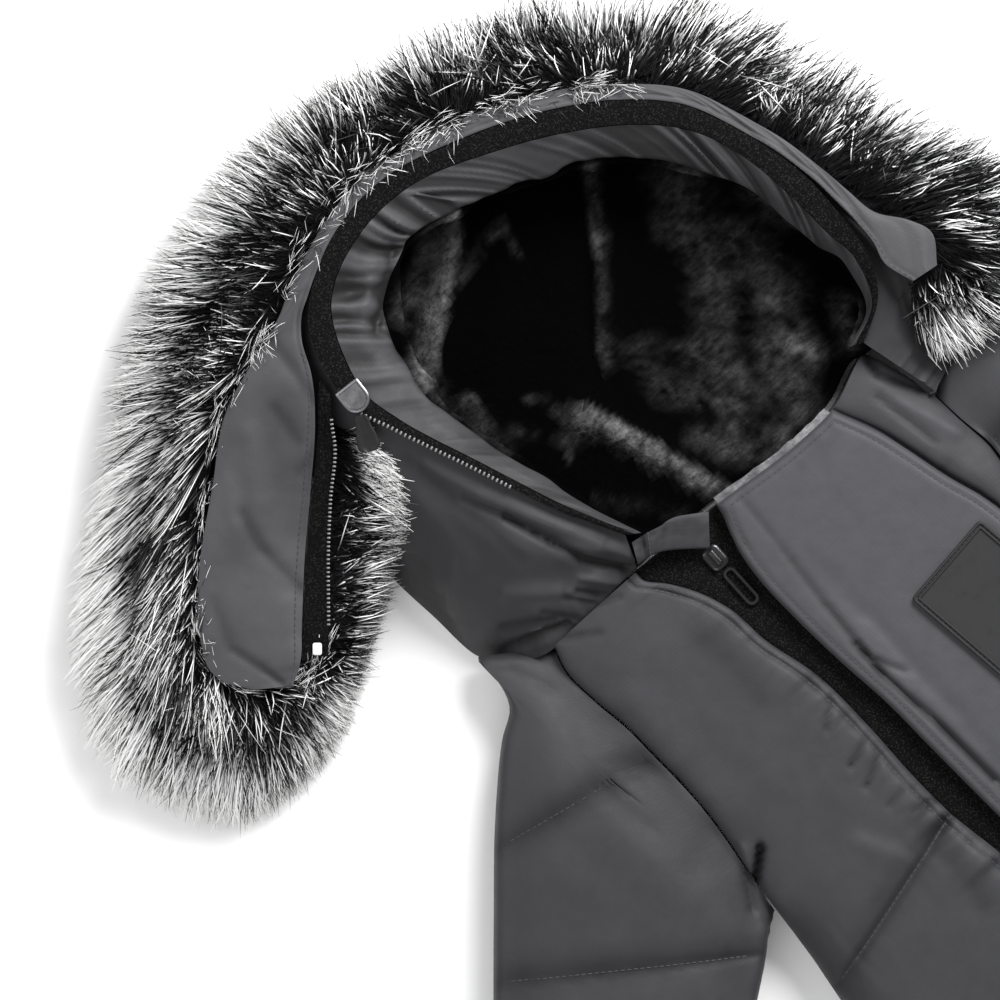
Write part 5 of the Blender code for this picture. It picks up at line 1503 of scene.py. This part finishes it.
def front_slider(finish):
    """The front zip's slider with its bridge, and the pull on its hinge."""
    x, y = SLIDER
    low = TAPE_Z + TAPE_WALL + LAY_GAP

    def plate(width, length, radius, ahead):
        return lambda inset: turned(plate_outline(width, length, radius, inset), 0,
                                    (x, y + ahead))

    piece = moulded("front_slider_body", plate(9.5, 12, 3, 6.6),
                    [(0.4, low), (0, low + 0.4), (0, low + 1.6), (0.5, low + 2.2),
                     (1.6, low + 2.5)], finish)
    place_on(piece, "front_slider")
    piece = moulded("front_slider_bridge", plate(3.4, 8.6, 1.4, 5.0),
                    [(0.2, low + 2.4), (0, low + 2.8), (0.1, low + 3.6), (0.9, low + 4.0)],
                    finish)
    place_on(piece)
    piece = ring_piece("front_pull_ring", plate(6.6, PULL_LENGTH, 3.0, -6.5),
                       plate(3.4, PULL_LENGTH - 3.2, 1.5, -8.1), low + 0.3,
                       low + 0.3 + PULL_WALL, finish)
    place_on(piece, "front_pull", "front_zip_pull")


def shield(inset):
    """The hood slider's face: square corners at one end, round at the other."""
    width, length = 13 - 2 * inset, 14 - 2 * inset
    half, radius = width / 2, width / 2
    corner = max(1.2 - inset, 0.25)
    outline = []
    for middle_x, start in ((half - corner, 0), (corner - half, 90)):
        for k in range(4):
            a = math.radians(start + 30 * k)
            outline.append((middle_x + corner * math.cos(a), -corner + corner * math.sin(a)))
    for k in range(13):
        a = math.radians(180 + 15 * k)
        outline.append((radius * math.cos(a), radius - length + radius * math.sin(a)))
    return np.array(outline) + np.array([0, -inset])


def hood_slider(metal, rubber):
    """The hood zip's slider, and the rubber grip on its hinge."""
    x, y = HOOD_SLIDER
    shift = -7 * np.array([math.sin(HOOD_SLIDER_TURN), -math.cos(HOOD_SLIDER_TURN)])
    low = HOOD_SLIDER_Z

    def face(inset):
        return turned(shield(inset), HOOD_SLIDER_TURN, (x, y)) + shift

    piece = moulded("hood_slider_body", face,
                    [(0.5, low), (0, low + 0.5), (0, low + 2.6), (0.3, low + 3.3),
                     (0.9, low + 3.6), (1.5, low + 3.6), (1.8, low + 3.25), (6.0, low + 3.2)],
                    metal, sharp=math.radians(35))
    place_on(piece, "hood_slider")
    away = np.array([math.cos(HOOD_PULL_TURN), math.sin(HOOD_PULL_TURN)])
    start = np.array([x, y]) + away * 8.2
    width = np.array([-away[1], away[0]])
    reach = np.linspace(0, GRIP_LENGTH, 24)
    half = smooth(reach, np.array([0, 1.5, 5, 12, 15.5, GRIP_LENGTH]),
                  np.array([2.2, 3.1, 3.6, 5.0, 4.6, 2.6]))
    share = np.array([-1, -0.93, -0.8, -0.62, -0.5, 0, 0.5, 0.62, 0.8, 0.93, 1])
    place = start + away * reach[:, None]
    xy = place[:, None] + width * (half[:, None] * share[None])[..., None]
    rim = np.array([-0.5, -0.1, 0, 0, -0.35, -0.4, -0.35, 0, 0, -0.1, -0.5])
    top = (HOOD_SLIDER_Z + 2.4 - reach * 0.10)[:, None] + rim[None]
    under = top.max(1, keepdims=True) - 2.0 - rim[None] * 0.6
    piece = cloth("hood_pull_grip", at_height(xy, top), at_height(xy, under), rubber,
                  body="hood_zip_pull")


def end_stop(finish):
    """The box at the end of the trim's zip."""
    x, y = END_STOP

    def outline(inset):
        return turned(plate_outline(4.2, 5.6, 1.0, inset), math.radians(-42), (x, y))

    piece = moulded("end_stop_box", outline,
                    [(0.25, END_STOP_Z), (0, END_STOP_Z + 0.3), (0, END_STOP_Z + 1.8),
                     (0.35, END_STOP_Z + 2.2), (1.5, END_STOP_Z + 2.3)], finish)
    place_on(piece, "end_stop")


# ---------------------------------------------------------------- materials


class Shader:
    """A material's node tree, built by short calls."""

    def __init__(self, name, colour, roughness, **settings):
        self.material = bpy.data.materials.new(name)
        self.material.use_nodes = True
        self.tree = self.material.node_tree
        self.main = self.tree.nodes["Principled BSDF"]
        self.main.inputs["Base Color"].default_value = (*colour, 1)
        self.main.inputs["Roughness"].default_value = roughness
        for key, value in settings.items():
            self.main.inputs[key.replace("_", " ")].default_value = value

    def node(self, kind, inputs=(), **attributes):
        made = self.tree.nodes.new(kind)
        for key, value in attributes.items():
            setattr(made, key, value)
        for key, value in dict(inputs).items():
            if hasattr(value, "default_value") or hasattr(value, "links"):
                self.tree.links.new(value, made.inputs[key])
            else:
                made.inputs[key].default_value = value
        return made

    def places(self, layer=None):
        if layer:
            return self.node("ShaderNodeUVMap", uv_map=layer).outputs["UV"]
        return self.node("ShaderNodeTexCoord").outputs["Object"]

    def split(self, layer):
        """The two numbers that a layer of places on the mesh holds, as X and Y."""
        return self.node("ShaderNodeSeparateXYZ", {"Vector": self.places(layer)}).outputs

    def noise(self, where, scale, detail=2.0, rough=0.5, stretch=None):
        if stretch:
            where = self.node("ShaderNodeMapping", {"Vector": where, "Scale": stretch}
                              ).outputs["Vector"]
        return self.node("ShaderNodeTexNoise", {"Vector": where, "Scale": scale,
                                                "Detail": detail, "Roughness": rough}
                         ).outputs["Fac"]

    def ramp(self, factor, stops):
        """A ramp of colours, or of greys where a stop is one number."""
        made = self.node("ShaderNodeValToRGB", {"Fac": factor})
        ramp = made.color_ramp
        while len(ramp.elements) < len(stops):
            ramp.elements.new(0.5)
        for element, (place, colour) in zip(ramp.elements, stops):
            element.position = place
            element.color = (*np.broadcast_to(colour, 3), 1)
        return made.outputs["Color"]

    def math(self, operation, a, b):
        return self.node("ShaderNodeMath", {0: a, 1: b}, operation=operation).outputs[0]

    def mix(self, factor, a, b, blend="MIX"):
        made = self.node("ShaderNodeMix", data_type="RGBA", blend_type=blend)
        for socket, value in ((made.inputs[0], factor), (made.inputs[6], a),
                              (made.inputs[7], b)):
            if hasattr(value, "links"):
                self.tree.links.new(value, socket)
            elif isinstance(value, tuple):
                socket.default_value = (*value, 1)
            else:
                socket.default_value = value
        return made.outputs[2]

    def set(self, socket, value):
        self.tree.links.new(value, self.main.inputs[socket])

    def bump(self, height, strength, distance, normal=None):
        inputs = {"Height": height, "Strength": strength, "Distance": distance}
        if normal is not None:
            inputs["Normal"] = normal
        return self.node("ShaderNodeBump", inputs).outputs["Normal"]


def weave(shader, pitch):
    """A plain weave's height in metres along the cloth."""
    cloth_places = shader.places("cloth")
    waves = []
    for axis in ("X", "Y"):
        waves.append(shader.node("ShaderNodeTexWave", {
            "Vector": cloth_places, "Scale": 1 / (pitch * 6.2832) * 0.5, "Distortion": 0.4,
            "Detail": 1.0, "Detail Scale": 2.0}, bands_direction=axis).outputs["Fac"])
    return shader.math("ADD", waves[0], waves[1])


def shell_material(name, colour):
    """Close-woven nylon with a soft sheen: fine weave, small crumples, uneven dye, and
    painted shade in the hollows of the folds with painted highlight on their ridges.
    """
    shader = Shader(name, colour, 0.6, Sheen_Weight=0.03, Sheen_Roughness=0.5,
                    Specular_IOR_Level=0.22)
    where = shader.places()
    broad = shader.noise(where, 26, 3)
    streaks = shader.noise(where, 130, 3, 0.6)
    shade = shader.mix(broad, tuple(c * 0.90 for c in colour), tuple(c * 1.10 for c in colour))
    worn = shader.ramp(streaks, [(0.3, 0.94), (0.7, 1.06)])
    base = shader.mix(1.0, shade, worn, "MULTIPLY")
    # Painted shade and highlight: the fold layer darkens the colour in the hollows of the folds
    # and lightens it on their ridges.
    height = shader.split("fold")["X"]
    depth = shader.ramp(height, [(0.25, 0.22), (0.40, 0.62), (0.5, 1.0),
                                 (0.64, 1.32)])
    shader.set("Base Color", shader.mix(1.0, base, depth, "MULTIPLY"))
    rough = shader.ramp(streaks, [(0.25, 0.52), (0.75, 0.66)])
    shader.set("Roughness", rough)
    crumple = shader.bump(shader.noise(where, 240, 4, 0.55), 0.25, 0.0006)
    soft_folds = shader.bump(shader.noise(where, 62, 2, 0.5), 0.14, 0.0018, crumple)
    shader.set("Normal", shader.bump(weave(shader, 0.00045), 0.10, 0.0001, soft_folds))
    return shader.material


def plush_material(name, dark, pale, nap=None):
    """Short pile: dark, with hair streaks, and paler by painted highlight from a given layer
    where the folds catch the light, else paler in random clouds.
    """
    shader = Shader(name, dark, 0.95, Specular_IOR_Level=0.015)
    where = shader.places()
    hairs = shader.noise(where, 420, 3, 0.7, (0.35, 1.0, 1.0))
    tufts = shader.noise(where, 170, 3, 0.65)
    grain = shader.ramp(shader.math("MULTIPLY", hairs, tufts), [(0.12, 0.15),
                                                                (0.40, (1, 1, 1))])
    # With a nap layer the paleness is painted highlight where the lining's folds catch the
    # light; without one it is random clouds.
    if nap:
        lit = shader.split(nap)["X"]
    else:
        lit = shader.ramp(shader.noise(where, 38, 4, 0.6), [(0.3, (0, 0, 0)),
                                                            (0.52, (1, 1, 1))])
    shader.set("Base Color", shader.mix(shader.mix(1.0, lit, grain, "MULTIPLY"), dark, pale))
    fine = shader.bump(hairs, 0.8, 0.0008)
    shader.set("Normal", shader.bump(tufts, 0.7, 0.0022, fine))
    return shader.material


def tape_material(name):
    """Woven zip tape: ribs along it, with paler flecks between its yarns."""
    shader = Shader(name, (0.006, 0.006, 0.007), 0.85, Specular_IOR_Level=0.06)
    where = shader.places()
    flecks = shader.node("ShaderNodeTexVoronoi", {"Vector": where, "Scale": 1000.0})
    grain = shader.ramp(flecks.outputs["Distance"], [(0.10, (0.040, 0.039, 0.038)),
                                                     (0.42, (0.003, 0.003, 0.003))])
    drift = shader.noise(where, 300, 2)
    shader.set("Base Color", shader.mix(drift, (0.003, 0.003, 0.003), grain))
    rib = shader.bump(weave(shader, 0.0011), 0.4, 0.0003)
    shader.set("Normal", shader.bump(flecks.outputs["Distance"], 0.4, 0.0003, rib))
    return shader.material


def hair_material(name):
    """Hair that is black at its root, grey above and silver at its tip, some of it dark
    all along."""
    shader = Shader(name, (0.16, 0.16, 0.165), 0.6, Specular_IOR_Level=0.07)
    split = shader.split("OFBake")
    along, tone = split["X"], split["Y"]
    moved = shader.math("ADD", along, shader.math("MULTIPLY", shader.math(
        "SUBTRACT", tone, 0.7), 0.5))
    colour = shader.ramp(moved, [
        (0.0, (0.003, 0.003, 0.004)), (0.24, (0.005, 0.005, 0.006)),
        (0.34, (0.050, 0.050, 0.052)), (0.45, (0.34, 0.34, 0.345)),
        (0.58, (0.85, 0.85, 0.85)), (1.0, (0.98, 0.98, 0.97))])
    dim = shader.ramp(tone, [(0.10, 0.025), (0.42, 0.10), (0.54, 0.7),
                             (0.7, 1.0)])
    shader.set("Base Color", shader.mix(1.0, colour, dim, "MULTIPLY"))
    return shader.material


def underfur_material(name):
    """Dense short fur, near black."""
    shader = Shader(name, (0.006, 0.006, 0.007), 0.95, Specular_IOR_Level=0.03)
    where = shader.places()
    tufts = shader.noise(where, 160, 4, 0.7)
    shader.set("Base Color", shader.ramp(tufts, [(0.35, (0.003, 0.003, 0.004)),
                                                 (0.75, (0.020, 0.020, 0.021))]))
    shader.set("Normal", shader.bump(shader.noise(where, 520, 3, 0.7), 0.9, 0.002))
    return shader.material


def hard_material(name, colour, roughness, metallic=0.0, grain=900, wear=0.25, **settings):
    """Moulded or cast pieces: a fine grain, and a finish that wear has made uneven."""
    shader = Shader(name, colour, roughness, Metallic=metallic, **settings)
    where = shader.places()
    blotches = shader.noise(where, 190, 4, 0.6)
    shader.set("Roughness", shader.ramp(blotches, [(0.3, roughness * (1 - wear)),
                                                   (0.75, min(roughness * (1 + wear), 1))]))
    shader.set("Base Color", shader.mix(blotches, tuple(c * 0.88 for c in colour),
                                        tuple(min(c * 1.12, 1.0) for c in colour)))
    shader.set("Normal", shader.bump(shader.noise(where, grain, 2), 0.12, 0.0002))
    return shader.material


# ---------------------------------------------------------------- stage

VIEW_CENTRE = (-0.0736, 0.0852)
VIEW_WIDTH = 0.4545
VIEW_DISTANCE = 3.0
VIEW_LEVEL = 0.045


def stage():
    """The white table, the soft daylight and the photograph's camera."""
    shader = Shader("white table", (0.93, 0.93, 0.93), 0.6)
    drift = shader.noise(shader.places(), 3, 2)
    shader.set("Base Color", shader.mix(drift, (0.925, 0.925, 0.925), (0.94, 0.94, 0.94)))
    floor = make("table_top", [(-4000, -4000, -0.3), (4000, -4000, -0.3), (4000, 4000, -0.3),
                               (-4000, 4000, -0.3)], [(0, 1, 2, 3)], shader.material)
    world = bpy.data.worlds.new("studio")
    bpy.context.scene.world = world
    world.use_nodes = True
    background = world.node_tree.nodes["Background"]
    background.inputs["Color"].default_value = (1, 1, 1, 1)
    background.inputs["Strength"].default_value = 0.40
    right, up = Vector((0.74, -0.672, 0)).normalized(), Vector((0.672, 0.74, 0)).normalized()
    centre = Vector((*VIEW_CENTRE, 0))
    for name, side, high, height, size, power in (
            ("key", 0.55, 0.85, 0.95, 0.7, 30.0), ("fill", -0.9, 0.3, 1.3, 1.2, 8.0),
            ("low", -0.1, -1.0, 1.1, 1.0, 5.0)):
        light = bpy.data.lights.new(name, "AREA")
        light.shape = "DISK"
        light.size = size
        light.energy = power
        lamp = bpy.data.objects.new(name, light)
        place = centre + right * side + up * high + Vector((0, 0, height))
        lamp.location = place
        lamp.rotation_euler = (centre - place).to_track_quat("-Z", "Y").to_euler()
        bpy.context.collection.objects.link(lamp)
    camera = bpy.data.cameras.new("camera")
    camera.sensor_width = 36
    camera.lens = 36 * VIEW_DISTANCE / VIEW_WIDTH
    eye = bpy.data.objects.new("camera", camera)
    turn = Matrix((right, up, Vector((0, 0, 1)))).transposed().to_4x4()
    eye.matrix_world = Matrix.Translation(
        centre + Vector((0, 0, VIEW_LEVEL + VIEW_DISTANCE))) @ turn
    bpy.context.collection.objects.link(eye)
    scene = bpy.context.scene
    scene.camera = eye
    scene.view_settings.view_transform = "Standard"


def main():
    """The stage, the materials, and each piece with its material."""
    stage()
    shell = shell_material("padded nylon cloth", (0.0345, 0.0345, 0.0380))
    # Painted light: the flap, the facing and the strip are the shell's nylon, given lighter
    # copies of its colour for how light falls on these flatter, higher faces.
    lit_flap_cloth = shell_material("flap cloth", (0.052, 0.052, 0.057))
    hood_cloth = shell_material("hood cloth", (0.032, 0.032, 0.035))
    lit_facing_cloth = shell_material("facing cloth", (0.0415, 0.0415, 0.0445))
    lit_strip_cloth = shell_material("strip cloth", (0.056, 0.056, 0.060))
    # The plush lining's pale colour is painted highlight, laid by its nap layer.
    plush = plush_material("plush lining", (0.0009, 0.0009, 0.0011), (0.15, 0.15, 0.153),
                           "nap")
    pale_plush = plush_material("flap plush", (0.07, 0.07, 0.073), (0.30, 0.30, 0.31))
    tape = tape_material("zip tape")
    long_hair = hair_material("fur hair")
    underfur = underfur_material("underfur")
    rubber = hard_material("label rubber", (0.020, 0.020, 0.021), 0.6, grain=1400,
                           Specular_IOR_Level=0.25)
    enamel = hard_material("black enamel", (0.008, 0.008, 0.009), 0.25,
                           Specular_IOR_Level=0.5)
    metal = hard_material("slider metal", (0.20, 0.20, 0.21), 0.38, 1.0)
    grip = hard_material("pull rubber", (0.007, 0.007, 0.008), 0.5, grain=1400,
                         Specular_IOR_Level=0.3)
    white = hard_material("box plastic", (0.82, 0.82, 0.80), 0.4)
    thread = hard_material("sewing thread", (0.045, 0.045, 0.050), 0.7, grain=2400)
    tooth = hard_material("zip tooth", (0.20, 0.20, 0.205), 0.35, 0.3)
    front_right(shell)
    front_left(shell)
    back_panel(shell)
    zip_tapes(tape)
    flap(lit_flap_cloth, pale_plush)
    rubber_label(rubber)
    sleeve("sleeve_right", SLEEVE_RIGHT, -1, shell)
    sleeve("sleeve_left", SLEEVE_LEFT, 1, shell)
    hood_shell(hood_cloth)
    hood_back(hood_cloth)
    hood_tape(tape)
    hood_facing(lit_facing_cloth)
    hood_lining(plush)
    trim_strip(lit_strip_cloth)
    trim_tape(tape)
    fur_base(underfur)
    for k, part in enumerate(HAIR_PARTS):
        hair(f"fur_hair_{k + 1}", *part, long_hair, 200 + k)
    hair("fur_edge_hair", *EDGE_HAIR, long_hair, 210, edge=True)
    neck_tab(shell)
    front_slider(enamel)
    hood_slider(metal, grip)
    end_stop(white)
    grains("stitching", STITCHES, thread)
    grains("zip_teeth", TEETH, tooth)


main()
